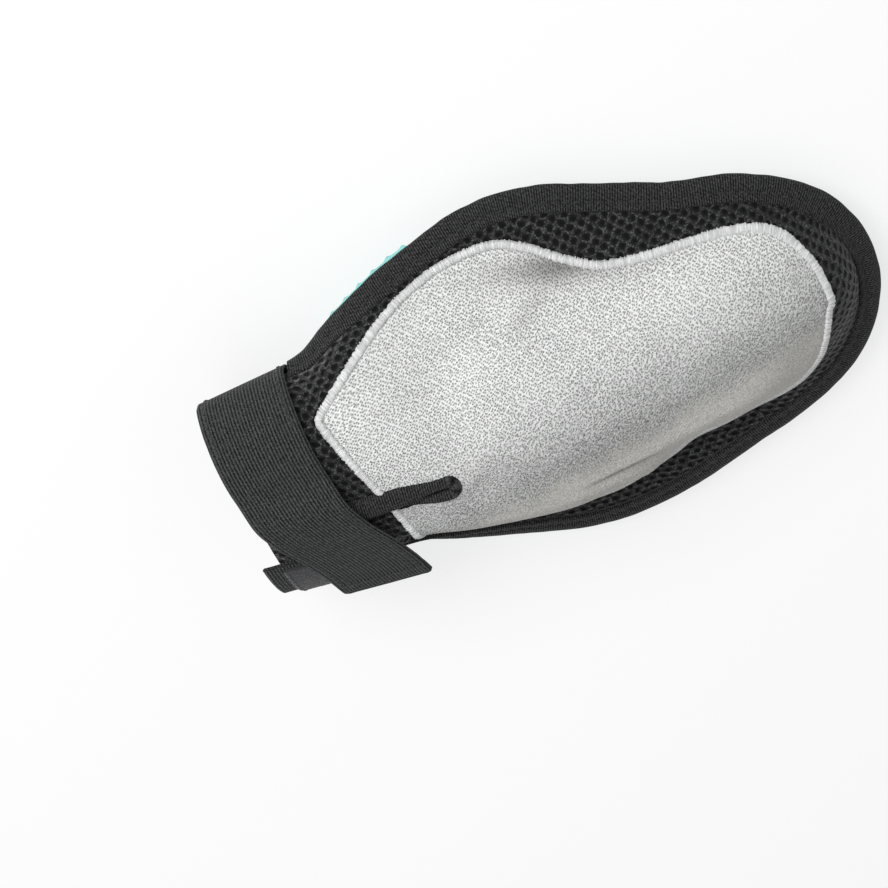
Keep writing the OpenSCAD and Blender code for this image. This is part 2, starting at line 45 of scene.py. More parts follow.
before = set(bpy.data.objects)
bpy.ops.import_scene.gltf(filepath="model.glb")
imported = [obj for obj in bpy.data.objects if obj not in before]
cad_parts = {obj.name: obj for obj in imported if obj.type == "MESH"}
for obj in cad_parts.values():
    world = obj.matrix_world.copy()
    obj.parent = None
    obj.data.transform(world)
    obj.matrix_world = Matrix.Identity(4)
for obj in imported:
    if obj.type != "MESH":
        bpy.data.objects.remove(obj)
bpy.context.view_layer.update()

import math

import bmesh
import bpy
import numpy as np
from bpy.props import FloatProperty, FloatVectorProperty, PointerProperty
from mathutils import Matrix, Vector

MM = 0.001

# ---------------------------------------------------------------- sizes and colours


def length(name, text, value, low=0.1, high=400.0):
    """A size property in millimetres."""
    return FloatProperty(name=name, description=text + ", in mm", default=value, min=low, max=high)


def colour(name, text, value):
    """A linear colour property."""
    return FloatVectorProperty(
        name=name, description=text, default=value, size=3, min=0, max=1, subtype="COLOR"
    )


class GloveSizes(bpy.types.PropertyGroup):
    """Sizes of the mitt and of what is sewn on it."""

    mitt_l: length("Mitt length", "Wrist edge to fingertip seam", 236)
    palm_w: length("Palm width", "Seam to seam across the palm", 132)
    palm_h: length("Palm height", "Nub tips to the top of the palm", 55)
    mesh_t: length("Mesh thickness", "Thickness of the spacer mesh", 1.6)
    velour_t: length("Velour thickness", "Thickness of the velour with its pile", 1.6)
    tuft_pitch: length("Tuft pitch", "Distance from tuft to tuft of the velour", 1.35)
    satin_w: length("Satin stitch width", "Width of the stitch round the velour", 3.3)
    satin_h: length("Satin stitch height", "Height of that stitch above the mesh", 2.2)
    thread_pitch: length("Thread pitch", "Distance between the threads of the satin stitch", 0.5)
    lining_t: length("Lining thickness", "Thickness of the fabric under the hand", 1.0)
    pad_t: length("Pad thickness", "Thickness of the rubber sheet", 2.0)
    nub_h: length("Nub height", "Height of a nub", 5.0)
    nub_tip_d: length("Nub tip", "Diameter of a nub at its tip", 1.6)
    nub_pitch: length("Nub pitch", "Distance from nub to nub", 7.0)
    binding_w: length("Binding width", "Width of the folded edge tape", 10.0)
    binding_t: length("Binding thickness", "Thickness of the folded edge tape", 3.0)
    vent_l: length("Vent length", "Wrist edge to the end of the vent tape", 76)
    vent_tape_w: length("Vent tape width", "Width of the tape on each side of the vent", 5.4)
    vent_tape_t: length("Vent tape height", "Height of the vent tape above the mesh", 2.4)
    vent_gap: length("Vent gap", "Gap between the two sides of the vent tape", 0.8)
    strap_w: length("Strap width", "Width of the elastic", 36)
    strap_t: length("Strap thickness", "Thickness of the elastic", 1.6)
    loop_w: length("Loop width", "Width of the strap round the wrist", 86)
    loop_h: length("Loop height", "Height of the strap round the wrist", 51)
    tab_l: length("Tab length", "Loose tab beyond the wrist", 14)
    fastener_t: length("Fastener thickness", "Thickness of each half of the fastener", 1.2)
    loop_patch_l: length("Loop patch length", "Length of the loop half", 30)
    hook_patch_l: length("Hook patch length", "Length of the hook half", 16)
    fastener_w: length("Fastener width", "Width of both halves", 28)
    stitch_pitch: length("Stitch pitch", "Distance from stitch to stitch", 4.0)
    stitch_l: length("Stitch length", "Length of one stitch", 2.8)
    thread_t: length("Thread thickness", "Thickness of the sewing thread", 0.6)


class GloveColours(bpy.types.PropertyGroup):
    """Colours of the fabrics, threads and rubber."""

    mesh: colour("Mesh", "Yarn of the spacer mesh", (0.016, 0.0165, 0.0165))
    # The holes of the mesh are painted this dark as the shade inside them.
    mesh_hole_shade: colour("Mesh holes", "Depth of the holes of the mesh", (0.0015, 0.0015, 0.0015))
    velour: colour("Velour", "Tips of the pile", (0.80, 0.81, 0.80))
    velour_root: colour("Velour roots", "Between the tufts of the pile", (0.27, 0.275, 0.27))
    # Laid pile of the steep side, painted darker as the shade of that side.
    velour_laid_shade: colour("Laid velour", "Pile that lies smooth on the steep side", (0.44, 0.43, 0.405))
    satin: colour("Satin stitch", "Thread round the velour", (0.95, 0.955, 0.96))
    tape: colour("Tape", "Ribbed edge tape", (0.012, 0.0122, 0.0122))
    elastic: colour("Elastic", "Ribbed elastic of the strap", (0.015, 0.0158, 0.0155))
    thread: colour("Thread", "Black sewing thread", (0.014, 0.014, 0.0145))
    lining: colour("Lining", "Woven lining", (0.030, 0.030, 0.033))
    rubber: colour("Rubber", "Moulded rubber of the pad", (0.24, 0.62, 0.60))
    loop_pile: colour("Loop pile", "Loop half of the fastener", (0.018, 0.018, 0.020))
    hooks: colour("Hooks", "Hook half of the fastener", (0.016, 0.016, 0.018))
    floor: colour("Floor", "Floor and backdrop", (0.90, 0.90, 0.90))


def sizes():
    """The sizes of this scene."""
    return bpy.context.scene.glove_sizes


def colours():
    """The colours of this scene."""
    return bpy.context.scene.glove_colours


# ---------------------------------------------------------------- form of the worn mitt

# In millimetres and degrees, in the frame of the part.
WRIST_X = -70.0  # wrist edge of the panels
SEAM_A = 89.7  # how far round the panels reach: just short of the seam
LOOP_X0, LOOP_Y, LOOP_Z = -59.0, 3.0, 30.0  # middle of the strap's loop
FLARE, FLARE_RUN = 1.6, 20  # the loop widens by this much over this length
CLEAR = 0.3  # gap between soft pieces
FOLD_A, UNDER_A, LEAVE_A = 72.0, 118.0, 130.0  # the free end folds, the sewn strap starts, the tab leaves
DRAWN_L, DRAWN_W, DRAWN_H = 236, 132, 55  # the mitt for which the tables of points are drawn
TIP_L, TIP_N = 47, 2.15  # length and bluntness of the fingertips
RIM_FROM, RIM_STEP = 29.8, 0.9  # where the edge tape starts, and the step along the seam
LIP_FROM, LIP_TO = 44.0, 92.0  # where the rubber sheet shows past the tape
CREASE_Y, CREASE_SLANT, CREASE_DEEP = -28.6, 0.02, 1.8  # the lengthwise fold of the -Y flank
STRAIGHT, TIP_TURN = 0.8, 88  # share of a panel before the tips, and how far it goes round them
SLIT, VELOUR_SLIT = 0.6, 2.9  # how far the mesh and the velour are cut away beside the vent's line
NUB_ROWS_A, NUB_FLAT_A = (-72, -60, 60, 72), 48  # rows of nubs up the sides, and where the flat bed ends


def curve(table, x):
    """A smooth line through the points of a table, read at x."""
    k, v = np.array(table, float).T
    x = np.clip(x, k[0], k[-1])
    i = np.clip(np.searchsorted(k, x, side="right") - 1, 0, len(k) - 2)
    m = np.empty_like(v)
    m[1:-1] = (v[2:] - v[:-2]) / (k[2:] - k[:-2])
    m[0], m[-1] = (v[1] - v[0]) / (k[1] - k[0]), (v[-1] - v[-2]) / (k[-1] - k[-2])
    h = k[i + 1] - k[i]
    q = (x - k[i]) / h
    return (
        (2 * q**3 - 3 * q**2 + 1) * v[i]
        + (q**3 - 2 * q**2 + q) * h * m[i]
        + (3 * q**2 - 2 * q**3) * v[i + 1]
        + (q**3 - q**2) * h * m[i + 1]
    )


def ease(a, b, x):
    """0 before a, 1 after b, smooth between them."""
    q = np.clip((x - a) / (b - a), 0, 1)
    return q * q * (3 - 2 * q)


def sind(a):
    return np.sin(np.radians(a))


def cosd(a):
    return np.cos(np.radians(a))


def unit(p):
    """p with length 1 along its last axis."""
    return p / np.maximum(np.linalg.norm(p, axis=-1, keepdims=True), 1e-12)


def hills(x, y, table):
    """Sum of soft hills and hollows, each (x, y, along, across, turn in degrees, height)."""
    total = np.zeros(np.broadcast(x, y).shape)
    for cx, cy, along, over, turn, high in table:
        c, s = math.cos(math.radians(turn)), math.sin(math.radians(turn))
        p, q = (x - cx) * c + (y - cy) * s, (y - cy) * c - (x - cx) * s
        total += high * np.exp(-((p / along) ** 2) - (q / over) ** 2)
    return total


def run_of(points):
    """How far along a line of points each of them lies."""
    return np.concatenate([[0], np.cumsum(np.linalg.norm(np.diff(points, axis=0), axis=1))])


def read_at(where, run, points):
    """A line of points read at distances along it."""
    return np.stack([np.interp(where, run, column) for column in np.transpose(points)], -1)


def columns(p):
    """The parts of points one by one."""
    return np.moveaxis(p, -1, 0)


def outline(points):
    """A closed outline, read at the share t of the way round it: place across and height."""
    run = run_of(points)
    return lambda t: columns(read_at(t * run[-1], run, points))


def calmed(d, times):
    """Directions along a line, each averaged with its neighbours."""
    for _ in range(times):
        d = unit(np.concatenate([d[:1], (d[:-2] + d[1:-1] + d[2:]) / 3, d[-1:]]))
    return d


class Mitt:
    """The outside of the worn mitt, read at distance u from the wrist edge and angle a across it."""

    def __init__(self):
        z = sizes()
        self.l, self.z = z.mitt_l, z
        self.lk, self.wk, self.hk = z.mitt_l / DRAWN_L, z.palm_w / DRAWN_W, z.palm_h / DRAWN_H
        self.tip_l = TIP_L * self.lk
        self.tip_u = self.l - self.tip_l
        self.flat = (z.loop_w - z.loop_h) / 2
        w0, w1 = self.wrist_in(0), self.wrist_in(24)
        plus = [
            (38, 45), (51, 50.8), (68, 56.1), (85, 60.8), (116, 67.3),
            (136, 64.6), (160, 55.4), (178, 48.3), (194, 44.2), (236, 38.5),
        ]
        minus = [
            (38, 39.5), (50, 41.5), (62, 46), (78, 52.4), (95, 58.6), (110, 63.2),
            (128, 64.5), (148, 62), (169, 56), (188, 50), (205, 46), (236, 42.5),
        ]
        seams = [(56, 26.5), (84, 20), (112, 17), (236, 16)]
        tops = [(56, 54.5), (72, 55), (112, 53), (150, 47), (190, 42), (236, 38)]
        scaled = lambda table, k: [(u, value * k) for u, value in table]
        self.plus = [(0, w0 + LOOP_Y), (24, w1 + LOOP_Y - 1.2)] + scaled(plus, self.wk)
        self.minus = [(0, w0 - LOOP_Y), (24, w1 - LOOP_Y - 1.2)] + scaled(minus, self.wk)
        self.seam_z = [(0, LOOP_Z), (30, LOOP_Z)] + scaled(seams, self.hk)
        self.top_z = [(0, LOOP_Z + w0 - self.flat), (24, LOOP_Z + w1 - self.flat)] + scaled(tops, self.hk)
        self.flat_v = [(0, 0), (30, 0), (60, 0.5), (90, 0.72), (236, 0.72)]
        self.shoulder = [(0, 0.5), (60, 0.5), (110, 0.5), (150, 0.42), (180, 0.46), (236, 0.5)]
        bed_z = z.nub_h + z.pad_t
        self.bed = [(0, LOOP_Z - w0 + self.flat), (24, LOOP_Z - w1 + self.flat), (46, bed_z), (236, bed_z)]
        self.drop = [(0, 92), (26, 88), (38, 74), (51, 62), (68, 46), (90, 35), (112, 30), (236, 28)]

    def wrist_in(self, u):
        """Half width of the mitt inside the strap loop."""
        return self.z.loop_w / 2 + FLARE * (WRIST_X + u - LOOP_X0) / FLARE_RUN - self.z.strap_t / 2 - CLEAR

    def round_off(self, u, start, n=TIP_N):
        """1 before start, then falling to 0 at the fingertips on a superellipse."""
        return np.maximum(0, 1 - (np.maximum(0, u - start) / (self.l - start)) ** n) ** (1 / n)

    def down(self, s, straight, turn, first=0.0):
        """Distance from the wrist edge at share s of a panel that rounds the tips past share straight."""
        body = first + (self.tip_u - first) * s / straight
        tips = self.tip_u + self.tip_l * sind(turn * (s - straight) / (1 - straight))
        return np.where(s < straight, body, tips)

    def centred(self, u):
        """How far the middle takes part in the sideways shift: wholly inside the strap."""
        return 1 - ease(22, 40, u / self.lk)

    def across(self, u, v):
        """y at share v of the width, from -1 to 1."""
        s, e = u / self.lk, self.centred(u)
        p, m = curve(self.plus, s), curve(self.minus, s)
        return self.round_off(u, self.tip_u) * (v * (p + m) / 2 + (e + (1 - e) * v * v) * (p - m) / 2)

    def angle_of(self, u, y):
        """The angle across the mitt at which y lies."""
        one, two, e = self.across(u, 1), self.across(u, -1), self.centred(u)
        b, k = np.maximum((one - two) / 2, 1e-6), (one + two) / 2
        c, d = k * (1 - e), y - k * e
        c = np.where(np.abs(c) < 0.01, 0.01, c)
        v = (-b + np.sqrt(np.maximum(0, b * b + 4 * c * d))) / (2 * c)
        return np.degrees(np.arcsin(np.clip(v, -1, 1)))

    def dome(self, u, v):
        """Share of the crown height at share v of the width."""
        s = u / self.lk
        lean = 0.2 * ease(40, 80, s) * (1 - ease(120, 190, s))
        vs = v + lean * (1 - v * v)
        q = np.maximum(0, 1 - vs * vs)
        w = ease(25, 85, s)
        bell = (1 - w) * np.sqrt(q) + w * (0.55 * q + 0.45 * q * q)
        start = curve(self.shoulder, s)
        side = (1 - ease(start, start + 0.42, -v)) * (1 - 0.25 * v * v)
        k = ease(0.1, 0.45, -v) * ease(28, 52, s) * (1 - 0.8 * ease(180, 210, s))
        return (1 - k) * bell + k * side

    def top_at(self, u, a):
        """A point of the outer face of the mesh panel, in mm."""
        u, a = np.broadcast_arrays(np.asarray(u, float), np.asarray(a, float))
        s, v = u / self.lk, sind(a)
        z0 = curve(self.seam_z, s)
        z = z0 + (curve(self.top_z, s) - z0) * self.round_off(u, self.tip_u) * self.dome(u, v)
        return np.stack([WRIST_X + u, self.across(u, v), z], -1)

    def bed_at(self, u, a):
        """A point of the face between the lining and the pad, in mm."""
        u, a = np.broadcast_arrays(np.asarray(u, float), np.asarray(a, float))
        s, v = u / self.lk, sind(a)
        f, z0 = curve(self.flat_v, s), curve(self.seam_z, s)
        r = np.maximum(0, (np.abs(v) - f) / (1 - f))
        fall = self.round_off(u, self.l - 30) * np.sqrt(np.maximum(0, 1 - r * r))
        return np.stack([WRIST_X + u, self.across(u, v), z0 - (z0 - curve(self.bed, s)) * fall], -1)

    def normal(self, at, u, a):
        """The direction square to a face of the mitt."""
        b = np.clip(a, -84, 84)
        return unit(np.cross(at(u + 0.1, b) - at(u - 0.1, b), at(u, b + 0.5) - at(u, b - 0.5)))

    def below_fold(self, x, y):
        """Distance in mm past the lengthwise fold of the -Y flank."""
        return CREASE_Y + CREASE_SLANT * (x - 60) - y

    def relief(self, x, y):
        """How far the worn front swells or sinks, in mm."""
        table = [
            (24, 32, 16, 7, 30, -1.3), (34, 22, 14, 7, 20, 1.0), (10, -12, 9, 6, 0, -1.4),
            (14, -4, 12, 5, 30, 0.9), (72, -42, 22, 3.0, 22, -3.0), (64, -47, 20, 4.0, 18, 2.2),
            (90, 30, 18, 7, -10, -1.0), (70, -37.5, 11, 4.5, 3, 2.6), (-8, 30, 22, 6, 25, 0.7),
            (104, -8, 30, 14, 0, 0.6), (-16, -28, 12, 5, 0, -1.0), (52, 2, 26, 10, -12, 0.6),
            (9.5, -8, 1.5, 2.6, 0, 0.9),
        ]
        below = self.below_fold(x, y)
        fold = ease(0, 0.9, below) * (1 - ease(1.6, 6, below)) * ease(42, 60, x) * (1 - ease(66, 84, x))
        return hills(x, y, table) - CREASE_DEEP * fold

    def top(self, u, a, h=0.0):
        """A point h above the mesh panel's outer face, with the folds it takes when worn."""
        p = self.top_at(u, a)
        n = self.normal(self.top_at, u, a)
        calm = self.round_off(np.asarray(u, float), self.tip_u) * np.clip(cosd(a) * 2.5, 0, 1)
        r = self.relief(p[..., 0], p[..., 1]) * calm * ease(20, 50, u)
        return p + n * np.asarray(r + h)[..., None]

    def on_top(self, u, y, h=0.0):
        """The same, found by distance from the middle instead of by angle."""
        return self.top(u, self.angle_of(u, y), h)

    def rim(self):
        """Even points (u, y) of the outer seam, from the wrist round the tips and back, and their run."""
        tips = self.tip_u + self.tip_l * sind(np.linspace(1, 90, 90))
        u = np.concatenate([np.linspace(RIM_FROM, self.tip_u, 200), tips])
        one, two = (np.stack([u, self.across(u, side)], -1) for side in (1, -1))
        p = np.concatenate([one, two[::-1][1:]])
        run = run_of(p)
        s = np.linspace(0, run[-1], int(run[-1] / RIM_STEP) + 1)
        return read_at(s, run, p), s

    def rim_frame(self):
        """Seam points with the direction out across the tape and up through it, and their run."""
        p, s = self.rim()
        d = calmed(unit(np.gradient(p, axis=0)), 3)
        t = curve(self.drop, p[:, 0] / self.lk)
        o = np.stack([-d[:, 1], d[:, 0]], -1)
        w = np.stack([o[:, 0] * cosd(t), o[:, 1] * cosd(t), -sind(t)], -1)
        n = np.stack([o[:, 0] * sind(t), o[:, 1] * sind(t), cosd(t)], -1)
        q = np.stack([WRIST_X + p[:, 0], p[:, 1], curve(self.seam_z, p[:, 0] / self.lk)], -1)
        return q, w, n, s


def wave(x, seed, scale):
    """Smooth repeatable unevenness along x, about -1 to 1."""
    rng = np.random.default_rng(seed)
    total = np.zeros(np.shape(x))
    for k in range(1, 6):
        total += np.sin(x / scale * k * 1.7 + rng.uniform(0, 6.28)) / k
    return total / 1.8


def grain(x, y, seed, size):
    """Smooth repeatable unevenness over a surface, about -1 to 1."""
    rng = np.random.default_rng(seed)
    cells = 64
    field = rng.uniform(-1, 1, (cells, cells))
    i, j = x / size, y / size
    i0, j0 = np.floor(i).astype(int), np.floor(j).astype(int)
    p, q = i - i0, j - j0
    p, q = p * p * (3 - 2 * p), q * q * (3 - 2 * q)
    row = lambda j: field[i0 % cells, j % cells] * (1 - p) + field[(i0 + 1) % cells, j % cells] * p
    return row(j0) * (1 - q) + row(j0 + 1) * q


# ---------------------------------------------------------------- mesh helpers


def finish_mesh(bm, name, material, smooth=True):
    """Turns a bmesh into a linked object with one material."""
    mesh = bpy.data.meshes.new(name)
    bm.to_mesh(mesh)
    bm.free()
    for f in mesh.polygons:
        f.use_smooth = smooth
    mesh.materials.append(material)
    obj = bpy.data.objects.new(name, mesh)
    bpy.context.scene.collection.objects.link(obj)
    return obj


UV_MID = 200  # where the middle line of an open sheet lies in its UV map, in mm


def cloth(name, material, across, along, place, round_t=False, loop_s=False, drop=None):
    """A woven surface: a grid of cells shaped by place(s, t), both from 0 to 1, which gives mm.

    Its UV map runs in metres along the cloth. round_t closes it into a tube, loop_s joins its ends,
    and drop takes out the cells whose middle it names.
    """
    bm = bmesh.new()
    bmesh.ops.create_grid(bm, x_segments=along, y_segments=across, size=1)
    bm.verts.ensure_lookup_table()
    grid = np.array([v.co for v in bm.verts])
    s, t = (np.rint((grid[:, k] + 1) / 2 * cells).astype(int) for k, cells in ((0, along), (1, across)))
    p = place(*np.meshgrid(np.linspace(0, 1, along + 1), np.linspace(0, 1, across + 1), indexing="ij"))
    mid = (across + 1) // 2
    run, wide = run_of(p[:, mid]), np.stack([run_of(row) for row in p])
    if not round_t:
        wide = wide - wide[:, mid : mid + 1] + UV_MID
    uv = bm.loops.layers.uv.new("Cloth")
    for v, i, j in zip(bm.verts, s, t):
        v.co = Vector(p[i, j]) * MM
        for loop in v.link_loops:
            loop[uv].uv = (run[i] * MM, wide[i, j] * MM)
    if drop is not None:
        gone = [f for f in bm.faces if drop(*(f.calc_center_median() / MM))]
        bmesh.ops.delete(bm, geom=gone, context="FACES")
    if round_t or loop_s:
        bmesh.ops.remove_doubles(bm, verts=bm.verts, dist=0.00001)
    if round_t and not loop_s:
        ends = [e for e in bm.edges if e.is_boundary]
        bmesh.ops.holes_fill(bm, edges=ends, sides=0)
        for e in ends:
            e.smooth = False
    bmesh.ops.recalc_face_normals(bm, faces=bm.faces)
    return finish_mesh(bm, name, material)


def outward(obj, up):
    """Turns an open sheet's faces so that most of them look along up."""
    if sum(f.normal.dot(Vector(up)) * f.area for f in obj.data.polygons) < 0:
        obj.data.flip_normals()
    return obj


def thicken(obj, thick, offset=-1.0):
    """Gives a sheet its thickness in mm."""
    wall = obj.modifiers.new("Thickness", "SOLIDIFY")
    wall.thickness, wall.offset, wall.use_rim = thick * MM, offset, True
    return obj


def turned(place, along, up):
    """Matrix that lays a small shape at a place in mm, its X along one way and its Z up."""
    z = Vector(up).normalized()
    x = (Vector(along) - z * Vector(along).dot(z)).normalized()
    m = Matrix((x, z.cross(x), z)).transposed().to_4x4()
    m.translation = Vector(place) * MM
    return m


def stamp(name, material, pattern, matrices):
    """Copies of one small bmesh, one for each matrix, in one piece."""
    small = bpy.data.meshes.new("pattern")
    pattern.to_mesh(small)
    pattern.free()
    bm = bmesh.new()
    for m in matrices:
        one = small.copy()
        one.transform(m)
        bm.from_mesh(one)
        bpy.data.meshes.remove(one)
    bpy.data.meshes.remove(small)
    return finish_mesh(bm, name, material)


def stitch_shape():
    """One stitch: a short plump thread that dips at both ends."""
    z = sizes()
    bm = bmesh.new()
    bmesh.ops.create_uvsphere(bm, u_segments=6, v_segments=5, radius=0.5 * MM)
    bmesh.ops.rotate(bm, verts=bm.verts, matrix=Matrix.Rotation(math.pi / 2, 3, "Y"))
    bmesh.ops.scale(bm, vec=(z.stitch_l, z.thread_t * 1.1, z.thread_t), verts=bm.verts)
    return bm


def stitch_line(points, ups, pitch):
    """Matrices for stitches laid end to end along a line of points in mm."""
    run = run_of(points)
    spots = np.arange(pitch / 2, run[-1], pitch)
    at, ahead, back = (read_at(spots + d, run, points) for d in (0, 0.5, -0.5))
    return [turned(p, b - a, n) for p, b, a, n in zip(at, ahead, back, read_at(spots, run, ups))]


def belongs(obj, body, *nodes, slot=None):
    """The piece moves with a body and stands for CAD nodes."""
    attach(obj, body)
    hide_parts(*nodes)
    return obj


def sew(name, body, node, *rows):
    """One piece of black stitches for a CAD node; each row is a line of points, its ups and a pitch."""
    places = [place for row in rows for place in stitch_line(*row)]
    return belongs(stamp(name, thread_material(), stitch_shape(), places), body, node)


# ---------------------------------------------------------------- shader nodes


def feed(tree, socket, value):
    """Links a value to a socket, or sets a number, a place or a colour on it."""
    if isinstance(value, Value):
        tree.links.new(value.socket, socket)
    elif value is not None:
        socket.default_value = (*value, 1) if socket.type == "RGBA" else value


def node(tree, kind, *values, out=0, **settings):
    """Adds a node, sets it up, feeds its inputs in order and gives one output."""
    made = tree.nodes.new("ShaderNode" + kind)
    for label, setting in settings.items():
        setattr(made, label, setting)
    for socket, value in zip(made.inputs, values):
        feed(tree, socket, value)
    return Value(tree, made.outputs[out])


class Value:
    """What a socket puts out; sums with it make Math nodes in its tree."""

    def __init__(self, tree, socket):
        self.tree, self.socket = tree, socket

    def maths(self, operation, other=None):
        """A Math node of this value and, where it needs two, another."""
        return node(self.tree, "Math", self, other, operation=operation)

    def __add__(self, other):
        return self.maths("ADD", other)

    def __sub__(self, other):
        return self.maths("SUBTRACT", other)

    def __rsub__(self, other):
        return node(self.tree, "Math", other, self, operation="SUBTRACT")

    def __mul__(self, other):
        return self.maths("MULTIPLY", other)

    def __truediv__(self, other):
        return self.maths("DIVIDE", other)

    def ranged(self, a, b, c, d):
        """The value taken from the range a to b into the range c to d."""
        return node(self.tree, "MapRange", self, a, b, c, d)

    def mixed(self, a, b):
        """The colour this far on the way from a to b."""
        return node(self.tree, "Mix", self, *[None] * 5, a, b, out=2, data_type="RGBA")

    def swing(self):
        """A wave of the value from 0 to 1, one for each whole number."""
        return (self * (2 * math.pi)).maths("SINE").ranged(-1, 1, 0, 1)


def noise(tree, vector, scale, detail=3.0, rough=0.6):
    """A Noise node's value."""
    made = node(tree, "TexNoise", vector, out="Fac")
    for label, value in (("Scale", scale), ("Detail", detail), ("Roughness", rough)):
        feed(tree, made.socket.node.inputs[label], value)
    return made


def shared_group(name, **inputs):
    """Makes a function of values into a node group, built once and placed by each material.

    The inputs are named with their defaults, None for a vector; the function gives each output's value.
    """

    def build(results):
        tree = bpy.data.node_groups.new(name, "ShaderNodeTree")
        for label, value in inputs.items():
            kind = "NodeSocketVector" if value is None else "NodeSocketFloat"
            socket = tree.interface.new_socket(name=label, in_out="INPUT", socket_type=kind)
            if value is not None:
                socket.default_value = value
        given = tree.nodes.new("NodeGroupInput").outputs
        made = results(tree, *[Value(tree, given[label]) for label in inputs])
        for label in made:
            tree.interface.new_socket(name=label, in_out="OUTPUT", socket_type="NodeSocketFloat")
        end = tree.nodes.new("NodeGroupOutput")
        for label, value in made.items():
            feed(tree, end.inputs[label], value)
        return tree

    def wrap(results):
        def place(tree, **values):
            made = tree.nodes.new("ShaderNodeGroup")
            made.node_tree = bpy.data.node_groups.get(name) or build(results)
            for label, value in values.items():
                feed(tree, made.inputs[label], value)
            return {out.name: Value(tree, out) for out in made.outputs}

        return place

    return wrap


@shared_group("Ribs", Along=0, Across=0, Pitch=1, Threads=0.35, Step=0.35, Dashes=0.5)
def ribs(tree, along, across, pitch, threads, step, dashes):
    """Even ribs along one direction, each broken into short dashes that step from rib to rib."""
    place = node(tree, "CombineXYZ", along, across)
    uneven, fine = noise(tree, place, 0.45, 2), noise(tree, place, 3.2, 2)
    count = along / pitch + uneven * 0.25
    rib = count.swing().maths("POWER", 0.8)
    dash = (across / threads + count.maths("FLOOR") * step).swing()
    shade = rib * ((1.0 - dashes) + dash * dashes)
    return {"Height": rib * (dash * 0.3 + 0.7), "Shade": shade * fine.ranged(0.3, 0.7, 0.45, 1.15)}


@shared_group("Tufts", X=0, Y=0, Long=1.5, Wide=1.0, Jitter=0.75)
def tufts(tree, x, y, long, wide, jitter):
    """Short pile pitted with rows of small slanting gaps: its height, and a value of its own for each gap."""
    lean = math.radians(38)
    p, q = x * math.cos(lean) + y * math.sin(lean), y * math.cos(lean) - x * math.sin(lean)
    place = node(tree, "CombineXYZ", p / long, q / wide)
    cells = node(tree, "TexVoronoi", place, voronoi_dimensions="2D", feature="F1")
    sockets = cells.socket.node
    feed(tree, sockets.inputs["Scale"], 1.0)
    feed(tree, sockets.inputs["Randomness"], jitter)
    far, own = (Value(tree, sockets.outputs[k]) for k in ("Distance", "Color"))
    return {"Height": far.ranged(0.02, 0.42, 0, 1), "Each": node(tree, "SeparateColor", own)}


@shared_group("Mesh holes", X=0, Y=0, Pitch=3.0, Hole=0.3)
def mesh_holes(tree, x, y, pitch, size):
    """Round holes on a staggered grid, as in a knitted spacer mesh, 1 inside a hole."""
    tall = 1.2
    x, y = x / pitch, y / (pitch * tall)

    def far(shift):
        a = (x + shift).maths("FRACT") - 0.5
        b = ((y + shift).maths("FRACT") - 0.5) * tall
        return (a * a + b * b).maths("SQRT")

    near, rim = far(0.0).maths("MINIMUM", far(0.5)), size * 1.35
    return {"Hole": near.ranged(size, rim, 1, 0), "Height": near.ranged(size * 0.5, rim, 0, 1)}


@shared_group("Fuzz", Vector=None, Fine=1800, Coarse=90)
def fuzz(tree, vector, fine, coarse):
    """Short loose fibre: fine and coarse unevenness for colour and height."""
    return {"Fine": noise(tree, vector, fine, 2, 0.7), "Coarse": noise(tree, vector, coarse, 4, 0.55)}


def start_material(name, rough=0.8, sheen=0.0, specular=0.3):
    """A material with its node tree, the cloth's own coordinates in mm and the object's in metres."""
    m = bpy.data.materials.new(name)
    m.use_nodes = True
    tree = m.node_tree
    look = {"Roughness": rough, "Specular IOR Level": specular, "Sheen Weight": sheen}
    for label, value in (look | {"Sheen Roughness": 0.45}).items():
        tree.nodes["Principled BSDF"].inputs[label].default_value = value
    split = node(tree, "SeparateXYZ", node(tree, "UVMap", uv_map="Cloth")).socket.node
    x, y = (Value(tree, split.outputs[k]) * (1 / MM) for k in (0, 1))
    return m, tree, x, y, node(tree, "TexCoord", out="Object")


def dress(tree, paint, height, distance, rough=None):
    """Feeds the shader its colour, its unevenness of a distance in mm and, where it varies, its roughness."""
    shader = tree.nodes["Principled BSDF"].inputs
    feed(tree, shader["Base Color"], paint)
    feed(tree, shader["Roughness"], rough)
    bump = tree.nodes.new("ShaderNodeBump")
    bump.inputs["Distance"].default_value = distance * MM
    bump.inputs["Strength"].default_value = 1.0
    feed(tree, bump.inputs["Height"], height)
    feed(tree, shader["Normal"], Value(tree, bump.outputs[0]))


def tone(c, k):
    """A colour made k times as bright."""
    return tuple(min(1.0, x * k) for x in c)


# ---------------------------------------------------------------- materials


def ribbed(name, c, pitch, lengthwise, threads, step, dashes, depth, lift):
    """Tape or elastic: ribs crosswise on tape, lengthwise on elastic, with light dashes on them."""
    m, tree, x, y, solid = start_material(name, 0.8, 0.06, 0.15)
    along, over = (y, x) if lengthwise else (x, y)
    rib = ribs(tree, Along=along, Across=over, Pitch=pitch, Threads=threads, Step=step, Dashes=dashes)
    fibre = fuzz(tree, Vector=solid, Fine=1500.0)["Fine"]
    shade = rib["Shade"] * 0.85 + fibre.ranged(0.42, 0.72, -0.15, 0.45)
    rough = rib["Height"].ranged(0, 1, 0.92, 0.7)
    dress(tree, shade.mixed(tone(c, 0.06), tone(c, lift)), rib["Height"] + fibre * 0.3, depth, rough)
    return m


